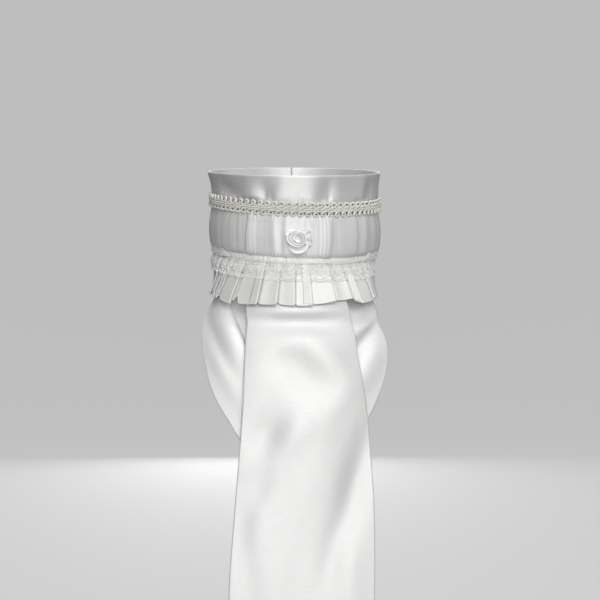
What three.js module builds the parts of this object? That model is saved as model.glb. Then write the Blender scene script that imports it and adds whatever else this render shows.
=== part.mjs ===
import * as THREE from 'three';

// Ready-tied satin stock, a kind of ascot tie. Millimetres, +Z up, the front faces -Y.
// The origin is the centre of the neck opening at half the collar's height.

// Small helpers

const sinDeg = (deg) => Math.sin(THREE.MathUtils.degToRad(deg));
const cosDeg = (deg) => Math.cos(THREE.MathUtils.degToRad(deg));
const { clamp, lerp, smoothstep } = THREE.MathUtils;

// Whole steps from one value to another, both ends included
function steps(from, to, count) {
  return Array.from({ length: count + 1 }, (_, k) => lerp(from, to, k / count));
}

// Driving dimensions of the collar. Degrees are counted round the neck from the front towards +X.
const GAP = 0.3; // air between neighbouring pieces
const COLLAR_TILT = 7.5; // degrees that the front of the collar leans down
const NARROWING = 3; // the neck opening's half-depth is this much less than its half-width
const LEAN = { left: 3, right: 0.3 }; // braid and seam climb this much at -90 degrees, and drop this much at +90
const RIM_LEVEL = 28.25;
const RIM_ROUND = 0.6; // height of the rim's rounded edge
const BAND_WALL = 1.6;
const BAND_BOTTOM = -30.4;
const BAND_END = 178.5; // the two ends leave a slit at the back
const FRONT_REACH = 70; // folds are drawn finely as far round as this
const FRONT_STEP = 5;
const BACK_STEP = 8;
const DENT_FADE = 3; // height above the braid in which the band's dents set in

// Driving dimensions of what is sewn on the collar
const BRAID_LEVEL = 5.8;
const BRAID_WIDTH = 9;
const BRAID_INSIDE = 58;
const BRAID_WALL = 1.3;
const BRAID_GROOVE = 0.5; // depth of the line between its two rows of loops
const BRAID_SCALLOP = 0.55; // how far each loop swells past the edge
const BRAID_LOOPS = 64;
const BRAID_END = 160;
const WRAP_TOP = 2.2;
const WRAP_BOTTOM = -26.1;
const WRAP_WALL = 1.2;
const WRAP_END = 156;
const GATHER_STEP = 3.2;
const GATHER_EDGE_LOSS = 0.6; // share of a gather's height that is gone at the wrap's two edges
const GATHER_END_FADE = 40; // degrees before the wrap's ends in which its gathers flatten
const WRAP_LEVELS = [WRAP_TOP, -5, -14, -22, WRAP_BOTTOM]; // the band under it has corners at the same ones
const TAPE_TOP = -26.4;
const TAPE_BOTTOM = -30;
const TAPE_INSIDE = 55.5;
const TAPE_WALL = 1.4;
const TAPE_STEPS = 44;
const FASTENING = { reach: 15, wall: 1.5, steps: 6, levels: [18.5, 13.5, 9, WRAP_TOP, -5, -14, -22] };

// Driving dimensions of the frill. Its drop runs down from the heading along the cloth's height.
const FRILL_LEVEL = -27.4; // its top edge, behind the tape
const FRILL_OUTSIDE = 55.2;
const FRILL_WALL = 1;
const FRILL_HEADING = 2.9; // flat stretch behind the tape
const FRILL_FLARE = 0.62; // outward spread for each millimetre of drop, at the front
const FRILL_SIDE_FLARE = 0.03; // the same at the sides of the neck
const FLARE_FADE = { from: 44, to: 88 }; // degrees between which the one becomes the other
const PLEAT_OPENING = 9; // drop over which the pleats open to their full depth
const FRILL_BENDS = [7.5, 12]; // drops at which satin and lace both have corners
const FOLD_SHARE = 0.12; // share of each pleat that its neighbour's folded edge falls across
const PLEAT_BELLY = 0.8; // under one, the panels bulge a little
const LACE_WALL = 1;
const LACE_GAP = 0.45; // air between satin and lace
const LACE_TOP = FRILL_HEADING + GAP;
const LACE_DROPS = [LACE_TOP, ...FRILL_BENDS, 14];
const LACE_SCALLOP = 0.9;
const LACE_HOLE_ROW = 1; // the row between the frill's two bends is pierced
const NOTCH_LIFT = 5.6; // how much higher the hem is inside a fold that starts NOTCH_BACK or more behind
const NOTCH_BACK = 2;

// Driving dimensions of the rose, in its own frame: X right, Y up, Z out of the collar
const ROSE = { deg: -0.8, level: -13.2, seat: 0.9 };
const ROSE_RIBBON = { wall: 1, inner: 1.1, outer: 5.1, turns: 2.3, steps: 40, low: 2, high: 5.6, fall: 1.5 };
const ROSE_STRETCH = { x: 1.22, y: 0.84 };
const ROSE_DISH = { floor: 1.2, rimWall: 1, rimLow: 0.5, sides: 36 };
const ROSE_RINGS = { seat: 0.62, hollow: 0.8 }; // shares of the reach at the dish's underside and inner floor

// Driving dimensions of the falls. x and z are as seen from the front.
const FALL_WALL = 1.6;
const FALL_LIFT = 7;
const FALL_TOP_REACH = 33; // degrees of the collar's seam that the front fall hangs from, each way
const FALL_TOP = -37;
const FALL_SIDE_END = -268; // the hem's two corners
const FALL_POINT = -290; // the hem's lowest point
const HEM_ROUNDNESS = 1.9; // 1 is a straight-sided point, more is rounder
const TAIL_WALL = 1.4;
const EDGE_DROP = 0.6; // falls start this far under the collar's lower edge
const FALL_BLEND = 0.12; // share of the front fall's length in which it leaves the collar's curve
const TAIL_BLEND = 0.24; // the same for the shorter tails
const TAIL_ROLL = { width: 0.3, sink: 0.6 }; // shares: across the tail, and of the roll's height lost behind it
const SIDE_LIMIT = 0.995; // sine of the turn past which a fall goes no further round

// Half-width of the collar's outer face at each level
const BAND_PROFILE = [
  { level: -30.4, radius: 53.6 },
  { level: -27.4, radius: 53.8 },
  { level: -26.1, radius: 55 },
  { level: -20, radius: 56.9 },
  { level: -13, radius: 57.8 },
  { level: -6, radius: 57.4 },
  { level: 0, radius: 55.7 },
  { level: 5, radius: 55.4 },
  { level: 8.5, radius: 56.8 },
  { level: 12, radius: 57.8 },
  { level: 19, radius: 58.4 },
  { level: 28.25, radius: 60.1 },
];

// Soft dents and swells of the smooth upper collar
const BAND_FOLDS = [
  { deg: -90, level: 28, wide: 30, tall: 12, lift: 1 },
  { deg: -56, level: 17, wide: 11, tall: 9, lift: -0.8 },
  { deg: -31, level: 13, wide: 6, tall: 6, lift: 0.7 },
  { deg: -21, level: 15, wide: 4.5, tall: 6, lift: -0.9 },
  { deg: -4, level: 20, wide: 12, tall: 12, lift: 0.5 },
  { deg: 17, level: 15, wide: 5, tall: 7, lift: -0.9 },
  { deg: 27, level: 13, wide: 5, tall: 5, lift: 0.6 },
  { deg: 36, level: 24, wide: 5, tall: 6, lift: -0.7 },
  { deg: 46, level: 14, wide: 4, tall: 5, lift: 0.5 },
  { deg: 90, level: 28, wide: 30, tall: 12, lift: -0.9 },
];

// Half-width of the gathered wrap's outer face between its gathers
const WRAP_PROFILE = [
  { level: -26.1, radius: 56.5 },
  { level: -20, radius: 58.7 },
  { level: -13, radius: 59.6 },
  { level: -6, radius: 59.2 },
  { level: 0, radius: 57.7 },
  { level: 3, radius: 57 },
];

// The wrap's upright gathers: place round the neck, half-width and height of each ridge
const WRAP_GATHERS = [
  { deg: -64, wide: 3.5, lift: 0.6 },
  { deg: -54, wide: 2.8, lift: 0.5 },
  { deg: -47, wide: 2.5, lift: 0.55 },
  { deg: -40, wide: 3, lift: 0.6 },
  { deg: -32, wide: 3, lift: 0.95 },
  { deg: -24, wide: 3, lift: 0.45 },
  { deg: -16, wide: 2.6, lift: 0.8 },
  { deg: -8, wide: 2.4, lift: 0.7 },
  { deg: 1, wide: 3, lift: 0.5 },
  { deg: 10, wide: 3, lift: 0.6 },
  { deg: 19.5, wide: 3.4, lift: 1 },
  { deg: 30, wide: 4, lift: 0.45 },
  { deg: 40, wide: 3.6, lift: 0.7 },
  { deg: 50, wide: 2.8, lift: 0.8 },
  { deg: 60, wide: 3.5, lift: 0.55 },
];

// Knife pleats of the frill: folded edge, its height, the drop to the hem and how far back the next fold starts
const PLEATS = [
  { edge: -98, depth: 0, drop: 29.5, back: 0 },
  { edge: -89, depth: 1.6, drop: 29.5, back: 0 },
  { edge: -80, depth: 1.8, drop: 29.5, back: 0 },
  { edge: -71.5, depth: 2, drop: 29.5, back: 0 },
  { edge: -63.5, depth: 2, drop: 29.2, back: 0 },
  { edge: -55.6, depth: 2.2, drop: 29, back: 0 },
  { edge: -49, depth: 2.2, drop: 29.4, back: 0 },
  { edge: -38.7, depth: 2.6, drop: 31, back: 2.4 },
  { edge: -22.7, depth: 2.4, drop: 29.4, back: 0 },
  { edge: -12.1, depth: 2.2, drop: 28.6, back: 0 },
  { edge: -2.5, depth: 2.2, drop: 29.4, back: 0 },
  { edge: 6.9, depth: 2.2, drop: 29.2, back: 0 },
  { edge: 20.7, depth: 2.4, drop: 26, back: 0 },
  { edge: 30.6, depth: 2.4, drop: 25.2, back: 0.5 },
  { edge: 37, depth: 2.2, drop: 28.6, back: 0 },
  { edge: 47, depth: 2.2, drop: 28, back: 0 },
  { edge: 56, depth: 2.2, drop: 27.5, back: 0 },
  { edge: 64.5, depth: 2, drop: 27.5, back: 0 },
  { edge: 73, depth: 2, drop: 27.5, back: 0 },
  { edge: 81.5, depth: 1.8, drop: 27.5, back: 0 },
  { edge: 90, depth: 1.6, drop: 27.5, back: 0 },
  { edge: 98, depth: 0, drop: 27.5, back: 0 },
];
const PLEAT_SHARES = [0, FOLD_SHARE, 0.28, 0.62]; // where the satin is drawn across each pleat
const LACE_SHARES = [0, FOLD_SHARE, 0.36, 0.58, 0.8];
const LACE_HOLES = [1, 3]; // which of those cells are pierced
const LACE_SWELLS = [2, 4]; // where the scallops hang lowest

// The rose's outline: how far the petals reach and how high they stand, round from its right side
const PETALS = [
  { turn: 0, reach: 8.6, stand: 3.4 },
  { turn: 40, reach: 7.6, stand: 3.8 },
  { turn: 90, reach: 6.2, stand: 3.2 },
  { turn: 140, reach: 7.8, stand: 3.8 },
  { turn: 180, reach: 8.3, stand: 3.2 },
  { turn: 225, reach: 7.2, stand: 3.4 },
  { turn: 270, reach: 9.2, stand: 2 },
  { turn: 310, reach: 8.4, stand: 2.4 },
  { turn: 335, reach: 9.2, stand: 3 },
  { turn: 360, reach: 8.6, stand: 3.4 },
];

// The curved surface that the falls lie over: an ellipse at each height
const DRAPE = [
  { z: -292, halfWidth: 165, halfDepth: 57, centreY: -23 },
  { z: -250, halfWidth: 160, halfDepth: 57, centreY: -18 },
  { z: -200, halfWidth: 150, halfDepth: 56, centreY: -12 },
  { z: -150, halfWidth: 130, halfDepth: 55, centreY: -8 },
  { z: -110, halfWidth: 104, halfDepth: 54, centreY: -5.5 },
  { z: -80, halfWidth: 79, halfDepth: 53, centreY: -3 },
  { z: -66, halfWidth: 65, halfDepth: 51, centreY: 0 },
  { z: -57, halfWidth: 57, halfDepth: 50.2, centreY: 1.2 },
  { z: -48, halfWidth: 53.5, halfDepth: 49.8, centreY: 2.2 },
  { z: -37, halfWidth: 53, halfDepth: 49.4, centreY: 3.9 },
  { z: -20, halfWidth: 53, halfDepth: 49.4, centreY: 3.9 },
];

// The front fall's two side edges
const FALL_SIDES = [
  { z: -290, left: -46, right: 46 },
  { z: -250, left: -46.5, right: 48 },
  { z: -200, left: -43, right: 48.5 },
  { z: -150, left: -38.8, right: 46.5 },
  { z: -131, left: -37.4, right: 44 },
  { z: -115, left: -36.8, right: 41.2 },
  { z: -98, left: -36, right: 38.6 },
  { z: -82, left: -35.2, right: 36.6 },
  { z: -64, left: -34.3, right: 32.1 },
  { z: -50, left: -31, right: 30 },
  { z: -37, left: -28.5, right: 28.5 },
];

// Soft folds of the front fall: centre, half-length, half-width, turn from level and height
const FALL_FOLDS = [
  { x: 0, z: -71, long: 70, wide: 5, turn: 0, lift: 1.6 },
  { x: 0, z: -83, long: 50, wide: 6, turn: 0, lift: -1.2 },
  { x: 6, z: -92, long: 30, wide: 8, turn: -30, lift: 2.6 },
  { x: 12, z: -108, long: 26, wide: 9, turn: -38, lift: -1.8 },
  { x: -18, z: -132, long: 30, wide: 9, turn: 24, lift: 2.2 },
  { x: -6, z: -150, long: 28, wide: 9, turn: 62, lift: -2.4 },
  { x: 14, z: -170, long: 60, wide: 9, turn: 80, lift: 2.4 },
  { x: -26, z: -205, long: 45, wide: 9, turn: 74, lift: -2 },
  { x: 30, z: -215, long: 55, wide: 8, turn: 96, lift: -2.2 },
  { x: 2, z: -240, long: 50, wide: 11, turn: 86, lift: 2 },
];

// The two crossing tails: their inner and outer edges from the collar, step 0, to the hidden tip, step 1.
// inset is how far inside the collar's edge they hang, roll how far the cloth stands up beside the inner edge.
const LEFT_TAIL = {
  inset: 0,
  lift: 0.6,
  topInner: -76,
  topOuter: -112,
  across: [0, 0.07, 0.18, 0.36, 0.56, 0.78, 1],
  edges: [
    { step: 0, innerX: -52, innerZ: -40, outerX: -52, outerZ: -34, roll: 0 },
    { step: 0.16, innerX: -50, innerZ: -60, outerX: -57, outerZ: -60, roll: 0.4 },
    { step: 0.22, innerX: -45, innerZ: -66.5, outerX: -62, outerZ: -72, roll: 4 },
    { step: 0.34, innerX: -37.5, innerZ: -84, outerX: -62.5, outerZ: -94, roll: 4 },
    { step: 0.48, innerX: -30, innerZ: -102, outerX: -57, outerZ: -122, roll: 1 },
    { step: 0.64, innerX: -8, innerZ: -126, outerX: -40, outerZ: -152, roll: 0 },
    { step: 0.82, innerX: 14, innerZ: -160, outerX: -18, outerZ: -190, roll: 0 },
    { step: 1, innerX: 30, innerZ: -196, outerX: 6, outerZ: -222, roll: 0 },
  ],
  folds: [
    { x: -53, z: -90, long: 34, wide: 5, turn: -68, lift: -1.2 },
    { x: -46, z: -112, long: 34, wide: 6, turn: -62, lift: 1 },
  ],
};
const RIGHT_TAIL = {
  inset: 2.4,
  lift: -2.6,
  topInner: -46,
  topOuter: 104,
  across: steps(0, 1, 11),
  edges: [
    { step: 0, innerX: -38, innerZ: -41, outerX: 52, outerZ: -36, roll: 0 },
    { step: 0.2, innerX: -46, innerZ: -66, outerX: 57, outerZ: -69, roll: 0 },
    { step: 0.4, innerX: -47, innerZ: -95, outerX: 60, outerZ: -104, roll: 0 },
    { step: 0.6, innerX: -42, innerZ: -128, outerX: 44, outerZ: -144, roll: 0 },
    { step: 0.8, innerX: -38, innerZ: -162, outerX: 16, outerZ: -186, roll: 0 },
    { step: 1, innerX: -32, innerZ: -196, outerX: -10, outerZ: -222, roll: 0 },
  ],
  folds: [
    { x: 36, z: -68, long: 12, wide: 5, turn: 10, lift: 1 },
    { x: 45, z: -71.5, long: 9, wide: 4, turn: -12, lift: -1.2 },
    { x: 46, z: -78, long: 18, wide: 5, turn: 42, lift: 2.6 },
    { x: 44, z: -88, long: 24, wide: 5.5, turn: 49, lift: -2.6 },
    { x: 48, z: -104, long: 26, wide: 8, turn: 60, lift: 1.8 },
  ],
};
const FALL_GRID = { across: 12, along: 22 };
const TAIL_ROWS = 18;

const SATIN = { color: 0xdedede, roughness: 0.38, metalness: 0 };
const IVORY = { color: 0xd8d3c6, roughness: 0.7, metalness: 0 };
const ROSE_WHITE = { color: 0xd9dbe6, roughness: 0.45, metalness: 0 };
const LACE_WHITE = { color: 0xd6d6d4, roughness: 0.85, metalness: 0 };

// Reads one column of a table with a smooth curve through its rows, which are in rising order of key
function readTable(rows, key, at, column) {
  const last = rows.length - 1;
  const place = clamp(at, rows[0][key], rows[last][key]);
  let low = 0;
  while (low < last - 1 && rows[low + 1][key] < place) {
    low += 1;
  }
  const slopeAt = (index) => {
    const before = rows[Math.max(index - 1, 0)];
    const after = rows[Math.min(index + 1, last)];
    return (after[column] - before[column]) / (after[key] - before[key]);
  };
  const span = rows[low + 1][key] - rows[low][key];
  const rise = rows[low + 1][column] - rows[low][column];
  const t = (place - rows[low][key]) / span;
  const leaving = slopeAt(low) * span - rise;
  const arriving = rise - slopeAt(low + 1) * span;
  return rows[low][column] + t * rise + t * (1 - t) * (leaving * (1 - t) + arriving * t);
}

// Columns round the neck: fine at the front, wide apart behind
function columnsRound(reach, frontStep, backStep) {
  const front = Math.round((2 * FRONT_REACH) / frontStep);
  const back = Math.round((reach - FRONT_REACH) / backStep);
  const right = steps(FRONT_REACH, reach, back).slice(1);
  const left = right.map((deg) => -deg).reverse();
  return [...left, ...steps(-FRONT_REACH, FRONT_REACH, front), ...right];
}

// Closes a list of points and triangles into a geometry whose faces point out
function solid(points, triangles) {
  let sixVolumes = 0;
  for (const [a, b, c] of triangles) {
    sixVolumes += points[a].dot(points[b].clone().cross(points[c]));
  }
  const outward = sixVolumes > 0 ? triangles : triangles.map(([a, b, c]) => [a, c, b]);
  const geometry = new THREE.BufferGeometry();
  geometry.setFromPoints(points);
  geometry.setIndex(outward.flat());
  geometry.computeVertexNormals();
  return geometry;
}

// A closed solid between an outer and an inner grid of points, with openings where open() says so
function sheetSolid(columns, rows, outer, inner, open = () => false) {
  const points = [];
  for (const face of [outer, inner]) {
    for (const column of columns) {
      points.push(...rows.map((row) => face(column, row)));
    }
  }
  const pointOf = (side, i, j) => (side * columns.length + i) * rows.length + j;
  const filled = (i, j) => {
    const inside = i >= 0 && j >= 0 && i < columns.length - 1 && j < rows.length - 1;
    return inside && !open(i, j);
  };
  const triangles = [];
  const quad = (a, b, c, d) => triangles.push([a, b, c], [a, c, d]);
  const wall = (i, j, iEnd, jEnd) => {
    quad(pointOf(0, i, j), pointOf(0, iEnd, jEnd), pointOf(1, iEnd, jEnd), pointOf(1, i, j));
  };
  for (let i = 0; i < columns.length - 1; i += 1) {
    for (let j = 0; j < rows.length - 1; j += 1) {
      if (!filled(i, j)) continue;
      quad(pointOf(0, i, j), pointOf(0, i, j + 1), pointOf(0, i + 1, j + 1), pointOf(0, i + 1, j));
      quad(pointOf(1, i, j), pointOf(1, i + 1, j), pointOf(1, i + 1, j + 1), pointOf(1, i, j + 1));
      if (!filled(i, j - 1)) wall(i, j, i + 1, j);
      if (!filled(i + 1, j)) wall(i + 1, j, i + 1, j + 1);
      if (!filled(i, j + 1)) wall(i + 1, j + 1, i, j + 1);
      if (!filled(i - 1, j)) wall(i, j + 1, i, j);
    }
  }
  return solid(points, triangles);
}

// A closed solid swept round the neck: outline(deg) gives the section as [radius, level] pairs
function hoopSolid(columns, outline) {
  const sections = columns.map(outline);
  const size = sections[0].length;
  const points = sections.flatMap((section, i) => section.map(([r, level]) => hoopPoint(columns[i], r, level)));
  const triangles = [];
  for (let i = 0; i < columns.length - 1; i += 1) {
    for (let k = 0; k < size; k += 1) {
      const next = (k + 1) % size;
      const [a, b] = [i * size + k, i * size + next];
      triangles.push([a, b, b + size], [a, b + size, a + size]);
    }
  }
  // The triangles of an end cap, turned the same way round as the section's own outline
  const capOf = (section) => {
    const flat = section.map(([r, level]) => new THREE.Vector2(r, level));
    const turned = (outline) => THREE.ShapeUtils.isClockWise(outline);
    const cap = THREE.ShapeUtils.triangulateShape(flat, []);
    return cap.map(([a, b, c]) => (turned([flat[a], flat[b], flat[c]]) === turned(flat) ? [a, b, c] : [a, c, b]));
  };
  const start = (columns.length - 1) * size;
  triangles.push(...capOf(sections[0]).map(([a, b, c]) => [a, c, b]));
  triangles.push(...capOf(sections.at(-1)).map(([a, b, c]) => [start + a, start + b, start + c]));
  return solid(points, triangles);
}

// A point on a hoop round the neck. Levels below the braid's top follow its lean.
function hoopPoint(deg, radius, level) {
  const braidTop = BRAID_LEVEL + BRAID_WIDTH / 2;
  const leanShare = clamp((RIM_LEVEL - level) / (RIM_LEVEL - braidTop), 0, 1);
  const sine = sinDeg(deg);
  const lean = 0.5 * (LEAN.left - LEAN.right) * sine * sine - 0.5 * (LEAN.left + LEAN.right) * sine;
  const height = level + leanShare * lean;
  return new THREE.Vector3(radius * sinDeg(deg), -(radius - NARROWING) * cosDeg(deg), height);
}

// The sum of soft round folds, which fade like a bell curve in both directions
function foldLift(folds, deg, level) {
  return folds.reduce((sum, fold) => {
    const across = (deg - fold.deg) / fold.wide;
    const up = (level - fold.level) / fold.tall;
    return sum + fold.lift * Math.exp(-across * across - up * up);
  }, 0);
}

// Collar pieces

// Outer face of the neck band: dents fade out under the braid, where the band is drawn in
function bandRadius(deg, level) {
  const braidTop = BRAID_LEVEL + BRAID_WIDTH / 2;
  const free = smoothstep(level, braidTop, braidTop + DENT_FADE);
  return readTable(BAND_PROFILE, 'level', level, 'radius') + free * foldLift(BAND_FOLDS, deg, level);
}

function neckBand() {
  const outerLevels = [RIM_LEVEL - RIM_ROUND, 23, 18.5, 13.5, 9, ...WRAP_LEVELS, FRILL_LEVEL, BAND_BOTTOM];
  const innerLevels = [BAND_BOTTOM, -14, 5, RIM_LEVEL - RIM_ROUND];
  return hoopSolid(columnsRound(BAND_END, FRONT_STEP, BACK_STEP), (deg) => [
    ...outerLevels.map((level) => [bandRadius(deg, level), level]),
    ...innerLevels.map((level) => [bandRadius(deg, level) - BAND_WALL, level]),
    [bandRadius(deg, RIM_LEVEL) - BAND_WALL / 2, RIM_LEVEL],
  ]);
}

// Upright gathers of the wrap, deepest at half height; behind the drawn ones they come at even steps
function gatherLift(deg, level) {
  const evenGathers = { from: FRONT_REACH, step: 10, wide: 3.2, lift: 0.5 };
  const middle = (WRAP_TOP + WRAP_BOTTOM) / 2;
  const toEdge = Math.abs(level - middle) / (WRAP_TOP - middle);
  const fade = 1 - GATHER_EDGE_LOSS * toEdge * toEdge;
  const drawn = WRAP_GATHERS.reduce((sum, ridge) => {
    const across = (deg - ridge.deg) / ridge.wide;
    return sum + ridge.lift * Math.exp(-across * across);
  }, 0);
  const past = Math.abs(deg) - evenGathers.from;
  const toRidge = (past - evenGathers.step * Math.round(past / evenGathers.step)) / evenGathers.wide;
  const even = past > 0 ? evenGathers.lift * Math.exp(-toRidge * toRidge) : 0;
  const ends = smoothstep(WRAP_END - Math.abs(deg), 0, GATHER_END_FADE);
  return fade * (drawn + even * ends);
}

function pleatedWrap() {
  const surface = (level) => readTable(WRAP_PROFILE, 'level', level, 'radius');
  return hoopSolid(columnsRound(WRAP_END, GATHER_STEP, BACK_STEP), (deg) => [
    ...WRAP_LEVELS.map((level) => [surface(level) + gatherLift(deg, level), level]),
    ...WRAP_LEVELS.toReversed().map((level) => [surface(level) - WRAP_WALL, level]),
  ]);
}

// Gimp braid: two rows of loops, whose edges swell at each loop, either side of a sunk centre line
function braidTrim() {
  const outside = BRAID_INSIDE + BRAID_WALL;
  const half = BRAID_WIDTH / 2;
  const columns = steps(-BRAID_END, BRAID_END, 2 * BRAID_LOOPS);
  const isLoop = (deg) => Math.round(((deg + BRAID_END) * BRAID_LOOPS) / BRAID_END) % 2;
  return hoopSolid(columns, (deg) => {
    const edge = half - BRAID_SCALLOP * (1 - isLoop(deg));
    return [
      [BRAID_INSIDE, BRAID_LEVEL - edge],
      [outside, BRAID_LEVEL - edge],
      [outside - BRAID_GROOVE, BRAID_LEVEL],
      [outside, BRAID_LEVEL + edge],
      [BRAID_INSIDE, BRAID_LEVEL + edge],
    ];
  });
}

function headingTape() {
  const reach = PLEATS.at(-1).edge;
  const outside = TAPE_INSIDE + TAPE_WALL;
  return hoopSolid(steps(-reach, reach, TAPE_STEPS), () => [
    [TAPE_INSIDE, TAPE_BOTTOM],
    [outside, TAPE_BOTTOM],
    [outside, TAPE_TOP],
    [TAPE_INSIDE, TAPE_TOP],
  ]);
}

function backFastening() {
  const columns = steps(180 - FASTENING.reach, 180 + FASTENING.reach, FASTENING.steps);
  const seat = (level) => readTable(BAND_PROFILE, 'level', level, 'radius') + GAP;
  return hoopSolid(columns, () => [
    ...FASTENING.levels.map((level) => [seat(level) + FASTENING.wall, level]),
    ...FASTENING.levels.toReversed().map((level) => [seat(level), level]),
  ]);
}

// Frill

// The pleat that a place round the neck lies in, and its share across that pleat
function pleatAt(deg) {
  const last = PLEATS.length - 1;
  const found = PLEATS.findIndex((pleat) => pleat.edge >= deg);
  const index = clamp(found, 1, last);
  const [before, pleat] = [PLEATS[index - 1], PLEATS[index]];
  const share = clamp((deg - before.edge) / (pleat.edge - before.edge), 0, 1);
  return { before, pleat, share };
}

// Height of the cloth over the cone: it rises to each folded edge and falls back beside it
function pleatLift(deg) {
  const { before, pleat, share } = pleatAt(deg);
  if (share < FOLD_SHARE) {
    return lerp(before.depth, -before.back, share / FOLD_SHARE);
  }
  const across = (share - FOLD_SHARE) / (1 - FOLD_SHARE);
  return lerp(-before.back, pleat.depth, across ** PLEAT_BELLY);
}

// Drop from the heading to the hem, which is lifted inside a wide fold
function hemDrop(deg) {
  const { before, pleat, share } = pleatAt(deg);
  const inFold = before.back > 0 ? Math.max(0, 1 - Math.abs(share - FOLD_SHARE) / FOLD_SHARE) : 0;
  const lifted = NOTCH_LIFT * inFold * Math.min(1, before.back / NOTCH_BACK);
  return lerp(before.drop, pleat.drop, share) - lifted;
}

function frillPoint(deg, drop, over) {
  const opened = Math.max(0, drop - FRILL_HEADING);
  const side = smoothstep(Math.abs(deg), FLARE_FADE.from, FLARE_FADE.to);
  const flare = lerp(FRILL_FLARE, FRILL_SIDE_FLARE, side) * opened;
  const pleats = pleatLift(deg) * smoothstep(opened, 0, PLEAT_OPENING);
  return hoopPoint(deg, FRILL_OUTSIDE + flare + pleats + over, FRILL_LEVEL - drop);
}

// Columns across every pleat, at the same shares of each
function pleatColumns(shares) {
  const columns = PLEATS.slice(1).flatMap((pleat, k) => {
    const from = PLEATS[k].edge;
    return shares.map((share) => lerp(from, pleat.edge, share));
  });
  return [...columns, PLEATS.at(-1).edge];
}

function frillSatin() {
  const dropAt = (deg, row) => [0, FRILL_HEADING, ...FRILL_BENDS, hemDrop(deg)][row];
  return sheetSolid(
    pleatColumns(PLEAT_SHARES),
    [0, 1, 2, 3, 4],
    (deg, row) => frillPoint(deg, dropAt(deg, row), 0),
    (deg, row) => frillPoint(deg, dropAt(deg, row), -FRILL_WALL),
  );
}

function frillLace() {
  const cells = LACE_SHARES.length;
  const columns = pleatColumns(LACE_SHARES);
  const last = LACE_DROPS.length - 1;
  const dropAt = (i, row) => {
    const swell = row === last && LACE_SWELLS.includes(i % cells) ? LACE_SCALLOP : 0;
    return LACE_DROPS[row] + swell;
  };
  return sheetSolid(
    [...columns.keys()],
    [...LACE_DROPS.keys()],
    (i, row) => frillPoint(columns[i], dropAt(i, row), LACE_GAP + LACE_WALL),
    (i, row) => frillPoint(columns[i], dropAt(i, row), LACE_GAP),
    (i, row) => row === LACE_HOLE_ROW && LACE_HOLES.includes(i % cells),
  );
}

// Rose

// The wound centre: a ribbon on edge in a spiral, highest in the middle
function roseBud() {
  const { wall, inner, outer, turns, low, high, fall } = ROSE_RIBBON;
  const pointAt = (share, out, up) => {
    const turn = 360 * turns * share;
    const radius = lerp(inner, outer, share) + out;
    const height = up ? high - fall * share : low;
    return new THREE.Vector3(
      radius * ROSE_STRETCH.x * cosDeg(turn),
      radius * ROSE_STRETCH.y * sinDeg(turn),
      height,
    );
  };
  return sheetSolid(
    steps(0, 1, ROSE_RIBBON.steps),
    [0, 1],
    (share, up) => pointAt(share, wall / 2, up),
    (share, up) => pointAt(share, -wall / 2, up),
  );
}

// The outer petals: one shallow dish whose rim stands up unevenly all round
function rosePetals() {
  const { floor, rimWall, rimLow, sides } = ROSE_DISH;
  const petal = (turn, column) => readTable(PETALS, 'turn', turn, column);
  const rings = [
    (turn) => [petal(turn, 'reach') * ROSE_RINGS.seat, 0],
    (turn) => [petal(turn, 'reach') - rimWall, rimLow],
    (turn) => [petal(turn, 'reach'), petal(turn, 'stand')],
    (turn) => [petal(turn, 'reach') - rimWall, petal(turn, 'stand')],
    (turn) => [petal(turn, 'reach') * ROSE_RINGS.hollow, floor],
  ];
  const points = [new THREE.Vector3(0, 0, 0), new THREE.Vector3(0, 0, floor)];
  for (const ring of rings) {
    for (let k = 0; k < sides; k += 1) {
      const turn = (360 * k) / sides;
      const [radius, height] = ring(turn);
      points.push(new THREE.Vector3(radius * cosDeg(turn), radius * sinDeg(turn), height));
    }
  }
  const pointOf = (ring, k) => 2 + ring * sides + (k % sides);
  const triangles = [];
  for (let k = 0; k < sides; k += 1) {
    triangles.push([0, pointOf(0, k + 1), pointOf(0, k)]);
    triangles.push([1, pointOf(rings.length - 1, k), pointOf(rings.length - 1, k + 1)]);
    for (let ring = 0; ring < rings.length - 1; ring += 1) {
      const [a, b, c, d] = [pointOf(ring, k), pointOf(ring, k + 1), pointOf(ring + 1, k + 1), pointOf(ring + 1, k)];
      triangles.push([a, b, c], [a, c, d]);
    }
  }
  return solid(points, triangles);
}

// Falls

// A point of the falls: lift swells the whole ellipse at its height, over moves the cloth out from that
function drapePoint(x, z, lift, over) {
  const halfWidth = readTable(DRAPE, 'z', z, 'halfWidth') + lift;
  const halfDepth = readTable(DRAPE, 'z', z, 'halfDepth') + lift;
  const sine = clamp(x / halfWidth, -SIDE_LIMIT, SIDE_LIMIT);
  const cosine = Math.sqrt(1 - sine * sine);
  const centreY = readTable(DRAPE, 'z', z, 'centreY');
  return new THREE.Vector3((halfWidth + over) * sine, centreY - (halfDepth + over) * cosine, z);
}

// A point just under the collar's lower edge, in the untilted frame of the falls
function underCollar(deg, over) {
  const radius = readTable(BAND_PROFILE, 'level', BAND_BOTTOM, 'radius');
  const point = hoopPoint(deg, radius + over, BAND_BOTTOM - EDGE_DROP);
  return point.applyAxisAngle(new THREE.Vector3(1, 0, 0), THREE.MathUtils.degToRad(COLLAR_TILT));
}

// Long soft folds, each a bell curve along and across its own turned line
function fallLift(folds, x, z) {
  return folds.reduce((sum, fold) => {
    const [dx, dz] = [x - fold.x, z - fold.z];
    const along = (dx * cosDeg(fold.turn) + dz * sinDeg(fold.turn)) / fold.long;
    const across = (dz * cosDeg(fold.turn) - dx * sinDeg(fold.turn)) / fold.wide;
    return sum + fold.lift * Math.exp(-along * along - across * across);
  }, 0);
}

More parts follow.
